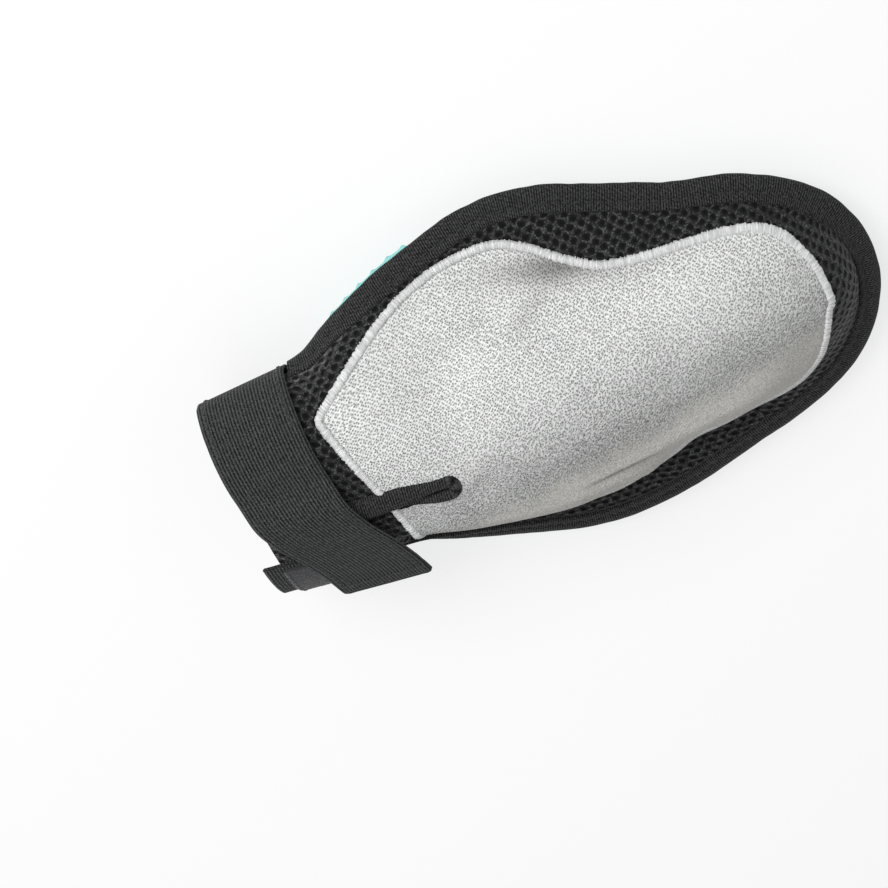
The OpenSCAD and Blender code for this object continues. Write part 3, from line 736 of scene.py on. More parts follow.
def mesh_material():
    """Black spacer mesh: fuzzy knitted yarn round holes painted near-black as the shade inside them."""
    yarn, depth = tuple(colours().mesh), tuple(colours().mesh_hole_shade)
    m, tree, x, y, solid = start_material("Spacer mesh", 0.75, 0.2, 0.2)
    drift = noise(tree, solid, 160.0, 2)
    holes = mesh_holes(tree, X=x + drift * 2.4, Y=y + drift * -2.0, Pitch=4.5, Hole=0.25)
    fibre = fuzz(tree, Vector=solid, Fine=1500.0, Coarse=600.0)
    loose = fibre["Fine"].ranged(0.45, 0.68, 0, 1) * fibre["Coarse"].ranged(0.35, 0.65, 0.25, 1)
    # Painted shade: the holes take a near-black colour for the dark inside them.
    paint = holes["Hole"].mixed(loose.mixed(tone(yarn, 0.3), tone(yarn, 8.0)), depth)
    dress(tree, paint, holes["Height"] + fibre["Fine"] * 0.25, 0.9, holes["Hole"].ranged(0, 1, 0.7, 0.95))
    return m


def velour_material():
    """Silver velour: bright tufts in rows, looser down the side, laid smooth on the steep side; painted shade
    darkens it towards the -Y side and the fingertips, and in the crease.
    """
    c = colours()
    root, silver, laid = tuple(c.velour_root), tuple(c.velour), tuple(c.velour_laid_shade)
    m, tree, x, y, solid = start_material("Velour", 0.85, 0.2, 0.2)
    pile, laid_and_shaded, nap, crease_shade = (node(tree, "Attribute", attribute_name=k, out="Fac") for k in PILE_AND_SHADE)
    tuft = tufts(tree, X=x, Y=y, Long=1.3, Wide=0.85, Jitter=nap.ranged(0.45, 0.95, 0.95, 0.55))
    fibre = fuzz(tree, Vector=solid, Fine=1500.0, Coarse=45.0)
    rows = nap.ranged(0.3, 0.85, 0.25, 1.0)
    tip = tuft["Height"] * tuft["Each"].ranged(0, 1, 0.8, 1.1) * rows + rows.ranged(0, 1, 0.62, 0)
    tip = tip + (fibre["Fine"] - 0.5) * nap.ranged(0.3, 0.9, 3.8, 2.4)
    tip = tip + (pile - 0.5) * 0.15 + fibre["Coarse"].ranged(0.3, 0.7, -0.1, 0.1)
    tip = tip.ranged(0.0, 1.0, 0, 1)
    # Painted shade: towards the -Y side and the fingertips, the tufts take copies of their colours darkened
    # to about 0.6.
    body = nap.mixed(tip.mixed(tone(root, 0.6), tone(silver, 0.62)), tip.mixed(root, silver))
    # Laid pile of the steep -Y side: smoother, and painted darker as the shade of that side.
    smooth = fibre["Fine"].ranged(0.35, 0.65, 0, 1).mixed(tone(laid, 0.7), tone(laid, 1.22))
    # Painted shade in the crease of the -Y flank and in the pinches: the colour goes towards a dark copy of
    # the laid pile.
    paint = crease_shade.mixed(laid_and_shaded.mixed(body, smooth), tone(laid, 0.3))
    dress(tree, paint, (tuft["Height"] + fibre["Fine"] * 0.7) * laid_and_shaded.ranged(0, 1, 1, 0.15), 0.42)
    return m


def satin_material():
    """Lustrous thread of the satin stitch."""
    c, pitch = tuple(colours().satin), float(sizes().thread_pitch)
    m, tree, x, y, solid = start_material("Satin stitch", 0.5, 0.2, 0.4)
    rib = ribs(tree, Along=x, Across=y, Pitch=pitch, Threads=1.6, Step=0.4, Dashes=0.2)["Height"]
    streak = noise(tree, node(tree, "CombineXYZ", x / (pitch * 1.7), y / 6.0), 1.0, 2)
    shade = rib * 0.5 + streak.ranged(0.35, 0.65, -0.35, 0.6)
    dress(tree, shade.mixed(tone(c, 0.66), tone(c, 1.06)), rib + streak * 1.6, 0.2)
    return m


def rubber_material():
    """Matt moulded rubber with a fine spark grain, slightly dusty in random patches."""
    c = tuple(colours().rubber)
    m, tree, x, y, solid = start_material("Nub rubber", 0.5, 0.0, 0.45)
    shader = tree.nodes["Principled BSDF"].inputs
    shader["Subsurface Weight"].default_value = 0.08
    shader["Subsurface Radius"].default_value = (0.002, 0.003, 0.003)
    grains = fuzz(tree, Vector=solid, Fine=2400.0, Coarse=120.0)
    dust = grains["Coarse"]
    paint, rough = dust.mixed(tone(c, 0.82), tone(c, 1.12)), dust.ranged(0.3, 0.7, 0.42, 0.62)
    dress(tree, paint, grains["Fine"], 0.05, rough)
    return m


def lining_material():
    """Plain weave of the lining."""
    c, pitch = tuple(colours().lining), 0.8
    m, tree, x, y, solid = start_material("Lining weave", 0.85, 0.3, 0.2)
    weave = [ribs(tree, Along=a, Across=b, Pitch=pitch, Threads=pitch)["Height"] for a, b in ((x, y), (y, x))]
    high = (weave[0] + weave[1]) * 0.5
    dress(tree, high.mixed(tone(c, 0.5), tone(c, 2.2)), high, 0.2)
    return m


def fibre_material(name, c, fine, depth, rough, lift=2.0):
    """Thread, looped pile or moulded hooks: fine fibre in the object's own space."""
    m, tree, x, y, solid = start_material(name, rough, 0.25, 0.3)
    fibre = fuzz(tree, Vector=solid, Fine=fine, Coarse=300.0)
    paint = fibre["Fine"].mixed(tone(c, 0.5), tone(c, lift))
    spread = fibre["Coarse"].ranged(0.3, 0.7, rough - 0.1, min(1.0, rough + 0.1))
    dress(tree, paint, fibre["Fine"], depth, spread)
    return m


def once(name, make, *values):
    """A material made for the first piece that wears it and shared by the others."""
    return bpy.data.materials.get(name) or make(name, *values)


def thread_material():
    """The black sewing thread of every row of stitches."""
    return once("Sewing thread", fibre_material, tuple(colours().thread), 1500.0, 0.1, 0.6)


def elastic_material():
    """The ribbed elastic of the strap and its free end."""
    return once("Ribbed elastic", ribbed, tuple(colours().elastic), 1.3, True, 1.1, 0.36, 0.3, 0.42, 6.4)


def tape_material():
    """The grosgrain tape of the edge and the vent."""
    return once("Ribbed tape", ribbed, tuple(colours().tape), 0.95, False, 1.7, 0.3, 0.45, 0.26, 6.8)


# ---------------------------------------------------------------- velour patch outline

# Pile height, laid pile with its painted shade, which way the pile lies with the painted shade of the -Y
# side, and painted shade in the crease.
PILE_AND_SHADE = ("pile", "laid_and_shaded", "nap", "crease_shade")  # what the velour mesh tells its material
PATCH_FROM, PATCH_TO = 47.0, 220.5  # the patch's ends; below, its width on each side of the middle
PATCH_PLUS = [
    (34, 31), (48, 40), (63, 48.5), (78, 55), (94, 59.5), (108, 61), (118, 60), (128, 55), (138, 47.5),
    (150, 41), (166, 38), (184, 36), (198, 34), (208, 30.5), (215, 25), (220.5, 15),
]
PATCH_MINUS = [
    (34, 26), (50, 31), (64, 36.5), (80, 42), (96, 47), (112, 51), (126, 52), (138, 50), (148, 45.5),
    (156, 39), (166, 35), (180, 37), (192, 36.5), (202, 33.5), (209, 27.5), (215, 18.5), (220.5, 4),
]


def patch_u(q, v, lk):
    """Distance from the wrist edge at share q along the patch and v across it."""
    start = lk * (PATCH_FROM + (PATCH_TO - PATCH_FROM) * q)
    end = 2.2 * lk * (1 - v * v) * ease(0.9, 1.0, q)
    return start + (1 - q) ** 3 * lk * np.where(v > 0, -11.4 * v, -7 * v) + end


def patch_y(q, v, lk, wk):
    """Distance from the middle at share q along the patch and v across it."""
    s = patch_u(q, np.sign(v), lk) / lk
    return wk * np.where(v > 0, v * curve(PATCH_PLUS, s), v * curve(PATCH_MINUS, s))


def tuft_height(u, y, pitch):
    """How high the pile stands: rows of tufts by the wrist, rougher and more even towards the tips."""
    deep = pitch * 0.62
    row = np.round(u / deep)
    across = 0.5 + 0.5 * np.cos(2 * np.pi * (y / pitch + 0.5 * (row % 2)))
    rows = (1 - np.abs(u / deep - row) * 1.25) * across
    rough = grain(u, y, 5, 0.8) * 0.55 + grain(u, y, 9, 2.3) * 0.3
    brushed = ease(80, 200, u + 0.8 * y)
    return (1 - 0.65 * brushed) * rows + (0.35 + 0.5 * brushed) * (0.5 + 0.5 * rough)


VENT_W = 0.82  # width of the vent tape at the bend, as a share of its full width


def vent_middle(mitt, u):
    """y of the middle of the vent."""
    return mitt.across(u, -0.14)


def vent_line(mitt):
    """Middle line of the vent tape, up one side and back down the other.

    Gives u and y, the lift of the tape's inner edge and its shares of the full thickness and width:
    towards the wrist the two sides close over each other, the +Y side swollen and on top.
    """
    z = sizes()
    turn = (z.vent_gap + VENT_W * z.vent_tape_w) / 2
    stop = z.vent_l - turn - z.vent_tape_w / 2
    u = np.linspace(6, stop, 60)
    y, shut = vent_middle(mitt, u), 1 - ease(z.vent_l - 26, z.vent_l - 8, u)
    a = np.linspace(0, 180, 41)[1:-1]
    thin = ease(stop - 9, stop, u)
    one = np.stack([u, y + turn + 0.5 * shut, 2 * shut, 1 + 0.1 * shut, VENT_W + 0.5 * shut], -1)
    round_y = vent_middle(mitt, stop) + turn * cosd(a)
    bend = np.stack([stop + turn * sind(a), round_y, 0 * a, 0 * a + 1, 0 * a + VENT_W], -1)
    two = np.stack([u, y - turn + 2.3 * shut, 0 * u, 1 - 0.5 * shut, 0.64 + 0.18 * thin], -1)
    return np.concatenate([one, bend, two[::-1]])


def in_slit(mitt, wide):
    """A test for cells that lie within wide mm of the vent's line."""
    z = sizes()
    end = z.vent_l - z.vent_tape_w - z.vent_gap / 2

    def test(x, y, _):
        u = x - WRIST_X
        aside = y - float(vent_middle(mitt, np.array(min(max(u, 0.0), end))))
        return math.hypot(max(0.0, u - end), aside) < wide

    return test


# ---------------------------------------------------------------- strap

LOOP_X = LOOP_X0 + 3  # middle of the loop half of the fastener
# Angle and x past LOOP_X0 of the top end and of the free end, which slant towards the fingers.
SLANT = ((0, 0), (60, 2), (85, 5.5), (100, 10.5), (115, 17), (130, 20.5), (160, 24))
DRIFT = [(a, LOOP_X0 + x) for a, x in SLANT]


class Strap:
    """The strap's path round the wrist, read at an angle, a place across it and a height above its middle."""

    def __init__(self):
        self.z = sizes()
        self.stack = self.z.strap_t + 2 * self.z.fastener_t + CLEAR + self.z.thread_t / 2

    def at(self, a, x, h):
        """A point of the strap, in mm."""
        k = h + FLARE * (x - LOOP_X0) / FLARE_RUN
        y, z = LOOP_Y + (self.z.loop_w / 2 + k) * cosd(a), LOOP_Z + (self.z.loop_h / 2 + k) * sind(a)
        return np.stack(np.broadcast_arrays(x, y, z), -1)

    def normal(self, a):
        """The direction out of the strap."""
        a = np.asarray(a, float)
        return unit(np.stack([0 * a, cosd(a) / self.z.loop_w, sind(a) / self.z.loop_h], -1))

    def rise(self, a):
        """How far the free end lies above the sewn strap, from the fold on."""
        return self.stack * ease(FOLD_A, FOLD_A + 20, a)

    def free(self, s, x, h):
        """A point of the free end, s mm from the fold along it."""
        turn = (LEAVE_A - FOLD_A) / self.bent
        a = np.minimum(FOLD_A + s * turn, LEAVE_A)
        out = np.maximum(0, s - self.bent)
        last, beyond = curve(DRIFT, LEAVE_A), curve(DRIFT, LEAVE_A + 30)
        mid = np.where(out > 0, last + (beyond - last) * out / 22, curve(DRIFT, a))
        n = self.normal(a)
        p = self.at(a, mid + x, self.rise(a) + h)
        return p + out[..., None] * np.stack([0 * a, -n[..., 2], n[..., 1]], -1)

    @property
    def bent(self):
        """Length of the free end that lies round the wrist."""
        a = np.linspace(FOLD_A, LEAVE_A, 60)
        return float(np.linalg.norm(np.diff(self.at(a, curve(DRIFT, a), self.rise(a)), axis=0), axis=1).sum())

    def turn_of(self, run):
        """The angle that a length of strap takes up where the fastener lies."""
        return math.degrees(run / (self.z.loop_w / 2 * 0.82))

    def sewn_x(self, a):
        """x of the sewn strap's middle line, which slants only past a whole turn."""
        return np.where(a > 360, curve(DRIFT, np.maximum(a - 360, 0)), LOOP_X0)


def band_section(wide, thick, t):
    """Place across and height of an elastic band's outline at share t round it, with thicker edges."""
    w, h = wide / 2, thick / 2
    return outline([
        (-w, 0), (-w + 0.25, h * 0.95), (-w + 1.2, h * 1.12), (-w + 2.2, h * 0.95), (0, h),
        (w - 2.2, h * 0.95), (w - 1.2, h * 1.12), (w - 0.25, h * 0.95), (w, 0), (w - 0.25, -h),
        (w - 2.2, -h * 0.95), (0, -h), (-w + 2.2, -h * 0.95), (-w + 0.25, -h), (-w, 0),
    ])(t)


# ---------------------------------------------------------------- operators


class GLOVE_OT_front(bpy.types.Operator):
    """Makes the spacer mesh of the front and the lining under the hand."""

    bl_idname = "glove.front"
    bl_label = "Mesh front and lining"

    def execute(self, context):
        z, mitt = sizes(), Mitt()
        spread = lambda s, t: (mitt.down(s, STRAIGHT, TIP_TURN), SEAM_A * (2 * t - 1))

        def front(s, t):
            return mitt.top(*spread(s, t))

        def under(s, t):
            u, a = spread(s, t)
            return mitt.bed_at(u, a) + mitt.normal(mitt.bed_at, u, a) * (z.lining_t / 2)

        panel = cloth("front_mesh", mesh_material(), 150, 230, front, drop=in_slit(mitt, SLIT))
        outward(panel, (0, 0, 1))
        thicken(panel, z.mesh_t)
        belongs(panel, "glove", "front_mesh_panel")

        lining = cloth("lining", lining_material(), 70, 110, under)
        outward(lining, (0, 0, 1))
        thicken(lining, z.lining_t, 0)
        belongs(lining, "glove", "palm_lining")
        return {"FINISHED"}


class GLOVE_OT_velour(bpy.types.Operator):
    """Makes the velour patch with its tufts and the satin stitch round it."""

    bl_idname = "glove.velour"
    bl_label = "Velour patch and satin stitch"

    def execute(self, context):
        z, mitt = sizes(), Mitt()
        lk, wk = mitt.lk, mitt.wk

        def patch(s, t):
            v = 2 * t - 1
            u, y = patch_u(s, v, lk), patch_y(s, v, lk, wk)
            ends = ease(0, 2.2, s * 186) * ease(0, 2.2, (1 - s) * 186)
            edge = ease(0, 2.2, (1 - np.abs(v)) * 45) * ends
            tuft = tuft_height(u, y, z.tuft_pitch)
            return mitt.on_top(u, y, 0.35 + edge * (z.velour_t - 0.7 + 0.4 * tuft))

        velour = cloth("velour", velour_material(), 250, 375, patch, drop=in_slit(mitt, VELOUR_SLIT))
        outward(velour, (0, 0, 1))
        belongs(velour, "glove", "velour_patch")
        self.write_pile_and_shade(velour, z.tuft_pitch, mitt)
        self.satin(z, mitt)
        return {"FINISHED"}

    def satin(self, z, mitt):
        """The satin stitch, thread beside thread round the outline of the patch."""
        q, v = np.linspace(0, 1, 400), np.linspace(1, -1, 90)
        one = np.ones(90)
        spot = lambda q, v: np.stack([patch_u(q, v, mitt.lk), patch_y(q, v, mitt.lk, mitt.wk)], -1)
        line = np.concatenate([spot(q, 1), spot(one, v)[1:-1], spot(q, -1)[::-1], spot(0 * one, -v)[1:]])
        for _ in range(6):
            line[:-1] = (np.roll(line[:-1], 1, 0) + line[:-1] + np.roll(line[:-1], -1, 0)) / 3
            line[-1] = line[0]
        run, pitch = run_of(line), z.thread_pitch

        def satin(s, t):
            at = s * run[-1]
            c, ahead, back = (read_at((at + d) % run[-1] if d else at, run, line) for d in (0, 0.8, -0.8))
            d = unit(ahead - back)
            thread = np.floor(at / pitch + 0.5)
            # A share from 0 to 1 that belongs to this end of this thread.
            uneven = np.modf(np.abs(np.sin(thread * 12.9898 + (t > 0.5) * 4.1) * 437.58))[0]
            over = (2 * t - 1) * z.satin_w / 2 * (0.86 + 0.3 * uneven + 0.04 * wave(at, 3, 0.9))
            crown = (1 - np.abs(2 * t - 1) ** 3) ** 0.6
            up = 0.2 + (z.satin_h - 0.2) * crown + 0.13 * np.cos(2 * np.pi * at / pitch)
            return mitt.on_top(c[..., 0] - d[..., 1] * over, c[..., 1] + d[..., 0] * over, up)

        border = cloth("satin_stitch", satin_material(), 8, int(run[-1] / pitch * 4), satin, loop_s=True)
        outward(border, (0, 0, 1))
        belongs(border, "glove", "patch_satin_stitch")

    def write_pile_and_shade(self, velour, pitch, mitt):
        """Writes the velour attributes: the pile's height, where it lies smooth and is painted darker as
        shade, which way it lies together with the painted shade of the -Y side, and painted shade in the
        crease.
        """
        co = np.zeros(len(velour.data.vertices) * 3)
        velour.data.vertices.foreach_get("co", co)
        x, y, _ = columns(co.reshape(-1, 3) / MM)
        u = x - WRIST_X
        # A run from the lit +Y side to the shaded -Y side and the fingertips, with some grain: it sets which
        # way the pile lies and where painted shade falls.
        nap_and_shade_slope = (y - 0.13 * (u - 130)) / mitt.wk + 2.5 * grain(u, y, 3, 9.0)
        below = mitt.below_fold(x, y)
        # Painted shade along the crease of the -Y flank, and in two pinches on the +Y side.
        crease = ease(-0.8, 0.2, below) * (1 - ease(0.4, 3.2, below))
        crease = crease * ease(44, 60, x) * (1 - ease(64, 82, x))
        crease_shade = 0.55 * crease + 0.8 * hills(x, y, [(68, 46.5, 24, 5.5, -12, 1), (50, 37, 11, 3, 25, 0.3)])
        # Pile height, laid pile with its painted shade, which way the pile lies with painted shade, and
        # painted crease shade.
        worn = (tuft_height(u, y, pitch), ease(14, 26, -nap_and_shade_slope), ease(-26, 26, nap_and_shade_slope), crease_shade)
        for name, value in zip(PILE_AND_SHADE, worn):
            layer = velour.data.attributes.new(name, "FLOAT", "POINT")
            layer.data.foreach_set("value", np.clip(value, 0, 1).astype(np.float32))


class GLOVE_OT_pad(bpy.types.Operator):
    """Makes the rubber pad with its nubs in one moulding."""

    bl_idname = "glove.pad"
    bl_label = "Nub pad"

    def execute(self, context):
        z, mitt = sizes(), Mitt()
        thin = 0.2

        def sheet(s, t):
            u, a = mitt.down(s, 0.75, 80, first=38.0), 82 * (2 * t - 1)
            p, n = mitt.bed_at(u, a), mitt.normal(mitt.bed_at, u, a)
            edge = ease(0, 1, np.minimum(s * 60, (1 - s) * 60)) * ease(0, 1, (1 - np.abs(2 * t - 1)) * 30)
            return p - n * (thin + (z.pad_t - thin) * edge)[..., None]

        pad = cloth("nub_pad_sheet", rubber_material(), 90, 130, sheet)
        outward(pad, (0, 0, -1))
        rubber = pad.data.materials[0]
        parts = [
            stamp("nubs", rubber, self.nub(), self.spots(mitt)),
            cloth("pad_lip", rubber, 14, 90, self.lip(mitt), round_t=True),
            pad,
        ]
        for o in bpy.context.selected_objects:
            o.select_set(False)
        for o in parts:
            o.select_set(True)
        bpy.context.view_layer.objects.active = pad
        bpy.ops.object.join()
        pad.name = "nub_pad_moulding"
        belongs(pad, "glove", "nub_pad")
        return {"FINISHED"}

    def lip(self, mitt):
        """The edge of the rubber sheet where it shows past the tape, on the +Y side behind the wrist."""
        q, w, n, run = mitt.rim_frame()
        first, last = np.interp((LIP_FROM, LIP_TO), q[:120, 0] - WRIST_X, run[:120])
        edge = outline([
            (5.5, -1.9), (9.0, -1.2), (10.0, -0.4), (10.5, -0.3), (10.9, -0.8), (10.7, -1.8), (9.0, -3.0),
            (5.5, -3.0), (5.5, -1.9),
        ])
        pitch = mitt.z.nub_pitch

        def place(s, t):
            at = first + (last - first) * s
            over, up = edge(t)
            shown = ease(0, 0.12, s) * ease(0, 0.12, 1 - s)
            aside = np.mod(at - first, pitch) - pitch / 2
            bump = 0.9 * np.exp(-((aside / 1.1) ** 2)) * ease(10.5, 10.9, over)
            over, up = over - 2.5 * (1 - shown) + bump * shown, up - 0.6 * (1 - shown)
            seam, out, lift = (read_at(at, run, k) for k in (q, w, n))
            return seam + out * over[..., None] + lift * up[..., None]

        return place

    def nub(self):
        """One nub, its tip at the origin and its root upwards."""
        z = sizes()
        drawn_h = 5
        rings = [(0.42, 0.0), (0.5, 0.12), (0.56, 0.5), (0.72, 2.6), (0.9, 4.4), (1.35, 5.1)]
        bm = bmesh.new()
        bmesh.ops.create_circle(bm, cap_ends=True, segments=10, radius=rings[0][0] * z.nub_tip_d * MM)
        edges = list(bm.edges)
        for r, h in rings[1:]:
            made = bmesh.ops.extrude_edge_only(bm, edges=edges)["geom"]
            verts = [g for g in made if isinstance(g, bmesh.types.BMVert)]
            edges = [g for g in made if isinstance(g, bmesh.types.BMEdge)]
            edges = [e for e in edges if all(v in verts for v in e.verts)]
            for v in verts:
                flat = Vector((v.co.x, v.co.y, 0)).normalized() * (r * z.nub_tip_d * MM)
                v.co = flat + Vector((0, 0, h * z.nub_h / drawn_h * MM))
        bmesh.ops.recalc_face_normals(bm, faces=bm.faces)
        middle = Vector((0, 0, z.nub_h / 2 * MM))
        if sum(f.normal.dot(f.calc_center_median() - middle) for f in bm.faces) < 0:
            bmesh.ops.reverse_faces(bm, faces=bm.faces)
        return bm

    def spots(self, mitt):
        """Where the nubs stand: staggered rows on the flat of the pad, two rows up each side."""
        z = mitt.z
        step = z.nub_pitch * 0.866
        first, last = 50 + WRIST_X, mitt.l + WRIST_X - 12
        found = []
        for i in range(math.floor(first / step), math.floor(last / step) + 1):
            for j in range(-12, 13):
                u, y = i * step - WRIST_X, (j + (0 if i % 2 == 0 else 0.5)) * z.nub_pitch
                a = float(mitt.angle_of(np.array(u), np.array(y)))
                if abs(a) < NUB_FLAT_A:
                    found.append((u, a))
        for a in NUB_ROWS_A:
            found += [(u, a) for u in np.arange(54, mitt.l - 26, z.nub_pitch)]
        u, a = np.array(found).T
        n = mitt.normal(mitt.bed_at, u, a)
        tip = mitt.bed_at(u, a) - n * (z.pad_t + z.nub_h)
        return [turned(p, (1, 0, 0), d) for p, d in zip(tip, n)]


class GLOVE_OT_bindings(bpy.types.Operator):
    """Makes the edge tape, the vent tape and their stitches."""

    bl_idname = "glove.bindings"
    bl_label = "Tapes and their stitches"

    def execute(self, context):
        z, mitt = sizes(), Mitt()
        q, w, n, run = mitt.rim_frame()
        wide, thick = z.binding_w / 10, z.binding_t / 3  # the outline is drawn 10 wide and 3 thick
        edge = outline(np.array([
            (-0.5, -1.2), (-0.4, 0.9), (0.4, 1.25), (1.6, 1.3), (2.6, 0.95), (3.0, 0.55), (3.5, 1.0),
            (4.6, 1.6), (6.4, 1.75), (8.2, 1.5), (9.5, 0.9), (10.0, 0.0), (9.5, -0.9), (8.0, -1.45),
            (5.5, -1.6), (3.0, -1.3), (1.0, -1.4), (-0.5, -1.2),
        ]) * [wide, thick])

        def tape(s, t):
            i = s * (len(run) - 1)
            at, (over, up) = i * RIM_STEP, edge(t)
            puff = 1 + 0.05 * wave(at, 11, 6) * ease(3, 5, over)
            dent = 0.16 * np.cos(2 * np.pi * at / z.stitch_pitch) * np.exp(-((over - 3.4) / 1.6) ** 2)
            over = np.where(over > 3.2, over * (1 + 0.025 * wave(at, 4, 9)), over)
            middle, out, lift = (read_at(i, np.arange(len(run)), k) for k in (q, w, n))
            return middle + out * over[..., None] + lift * (up * puff + dent)[..., None]

        tape_obj = cloth("edge_tape", tape_material(), 34, len(run) - 1, tape, round_t=True)
        belongs(tape_obj, "glove", "edge_binding")
        groove = q + w * (3.05 * wide) + n * 0.85
        sew("edge_tape_stitches", "glove", "binding_stitching", (groove, n, z.stitch_pitch))
        self.vent(z, mitt)
        return {"FINISHED"}

    def vent(self, z, mitt):
        """The U-shaped tape round the vent, with its stitches near the inner edge."""
        line = vent_line(mitt)
        run = run_of(line[:, :2])
        half, high = z.vent_tape_w / 2, z.vent_tape_t
        edge = outline(np.array([
            (-1, 0.02), (-1.04, 0.3), (-0.96, 0.62), (-0.8, 0.84), (-0.5, 0.98), (-0.1, 1.02), (0.25, 0.98),
            (0.42, 0.86), (0.6, 0.92), (0.82, 0.84), (0.98, 0.58), (1.02, 0.28), (0.96, 0.04), (0, 0.03),
            (-1, 0.02),
        ]) * [half, high])
        d = calmed(unit(np.gradient(line[:, :2], axis=0)), 4)

        def laid(at, over, up):
            u, y, lift, thick, wide = columns(read_at(at, run, line))
            ahead, aside = columns(read_at(at, run, d))
            h = lift * np.clip(over / half, -1, 1) * 0.5 + lift * 0.5 + up * thick
            return mitt.on_top(u + aside * over * wide, y - ahead * over * wide, 0.25 + h)

        def tape(s, t):
            at, (over, up) = s * run[-1], edge(t)
            return laid(at, over * (1 + 0.03 * wave(at, 7, 7)), up * (1 + 0.05 * wave(at, 8, 5)))

        belongs(cloth("vent_tape", tape_material(), 40, 300, tape, round_t=True), "glove", "vent_binding")
        at = np.linspace(2, run[-1] - 2, 300)
        top, over = (laid(at, half * 0.42, high * 0.86 + lift) for lift in (0, 1))
        sew("vent_tape_stitches", "glove", "vent_stitching", (top, over - top, 3.2))


class GLOVE_OT_strap(bpy.types.Operator):
    """Makes the elastic strap, its free end, the touch fastener and their stitches."""

    bl_idname = "glove.strap"
    bl_label = "Wrist strap and fastener"

    def execute(self, context):
        z, strap = sizes(), Strap()
        w, t0 = z.strap_w, z.strap_t

        def sewn(s, t):
            a = UNDER_A + (360 + FOLD_A - UNDER_A) * s
            x, h = band_section(w, t0, t)
            loose = 0.25 * wave(a, 2, 14) * ease(0, 30, a - UNDER_A) * ease(0, 30, 360 + FOLD_A - a)
            return strap.at(a, strap.sewn_x(a) + x, h + loose)

        belongs(cloth("strap_band", elastic_material(), 60, 190, sewn, round_t=True), "glove", "wrist_strap")
        full = strap.bent + z.tab_l

        def free(s, t):
            at = s * full
            x, h = band_section(w, t0, t)
            near = np.clip(2 - (full - at), 0, 2)
            corner = 1 - (2 - np.sqrt(np.maximum(0, 4 - near**2))) / (w / 2)
            hem = 1 + 0.55 * ease(full - 7.4, full - 6.8, at) * np.where(h < 0, 1, 0.35)
            return strap.free(at, x * corner, h * hem)

        end = cloth("strap_end_band", elastic_material(), 60, 100, free, round_t=True)
        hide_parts("strap_free_end")
        fold = Vector(strap.at(np.array(FOLD_A), np.array(-55.0), np.array(0.0))) * MM
        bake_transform(end)

        self.fastener(z, strap)
        self.stitches(z, strap, full)
        return {"FINISHED"}

    def fastener(self, z, strap):
        """The two halves of the touch fastener, with loops on one and hooks on the other."""
        start = UNDER_A + 3
        half = z.fastener_w / 2
        patch = [(-1, 0), (-1, 0.7), (-0.97, 1), (0.97, 1), (1, 0.7), (1, 0), (-1, 0)]
        section = outline(np.array(patch) * [half, z.fastener_t])

        def loops(s, t):
            a = start + strap.turn_of(z.loop_patch_l) * s
            x, h = section(t)
            return strap.at(a, LOOP_X + x, z.strap_t / 2 + h * (1 + 0.08 * grain(a * 3, x, 7, 1.0)))

        pile = fibre_material("Loop pile", tuple(colours().loop_pile), 1300.0, 0.5, 0.95, 3.0)
        belongs(cloth("loop_pile", pile, 60, 50, loops, round_t=True), "glove", "loop_patch")
        begin = (start - FOLD_A) / (LEAVE_A - FOLD_A) * strap.bent

        def hooks(s, t):
            x, h = section(t)
            return strap.free(begin + s * z.hook_patch_l, x, -z.strap_t / 2 - h)

        plastic = fibre_material("Hook tape", tuple(colours().hooks), 1700.0, 0.5, 0.5, 2.5)
        belongs(cloth("hook_tape", plastic, 60, 40, hooks, round_t=True), "strap_end", "hook_patch")

    def stitches(self, z, strap, full):
        """Rows of stitches along the strap, round the fastener and across the hem."""
        pitch, sides = 3.0, (-1, 1)
        hem = 3.0  # from the rows to the edges of the elastic
        skin = z.strap_t / 2 + 0.05
        edge, patch = z.strap_w / 2 - hem, z.fastener_w / 2 - 1.5
        turn = strap.turn_of(z.loop_patch_l)

        a = np.linspace(UNDER_A + 6 + turn, 333 + FOLD_A, 260)
        band = [(strap.at(a, strap.sewn_x(a) + k * edge, skin), strap.normal(a), pitch) for k in sides]
        sew("strap_stitches", "glove", "strap_stitching", *band)

        start, stop = UNDER_A + 5, UNDER_A + 1 + turn
        a, h = np.linspace(start, stop, 40), z.strap_t / 2 + z.fastener_t
        rows = [(strap.at(a, LOOP_X + k * patch, h), strap.normal(a), pitch) for k in sides]
        x = np.linspace(-z.fastener_w / 2 + 3, z.fastener_w / 2 - 3, 20)
        a = stop + 0 * x
        rows.append((strap.at(a, LOOP_X + x, h), strap.normal(a), pitch))
        sew("loop_pile_stitches", "glove", "loop_patch_stitching", *rows)

        def along(s, x, h):
            """A row of the free end, with its ups."""
            a = np.minimum(FOLD_A + s * (LEAVE_A - FOLD_A) / strap.bent, LEAVE_A)
            return strap.free(s, x + 0 * s, h + 0 * s), strap.normal(a), pitch

        s = np.linspace(10, full - 4, 120)
        x = np.linspace(-z.strap_w / 2 + 2, z.strap_w / 2 - 2, 40)
        rows = [along(s, k * edge, skin) for k in sides] + [along(full - hem * 2 + 0 * x, x, skin + 0.1)]
        sew("strap_end_stitches", "strap_end", "free_end_stitching", *rows)
        s = np.linspace(strap.bent + 1, full - 5, 30)
        rows = [along(s, k * patch, skin) for k in sides]
        sew("hook_tape_stitches", "strap_end", "hook_patch_stitching", *rows)


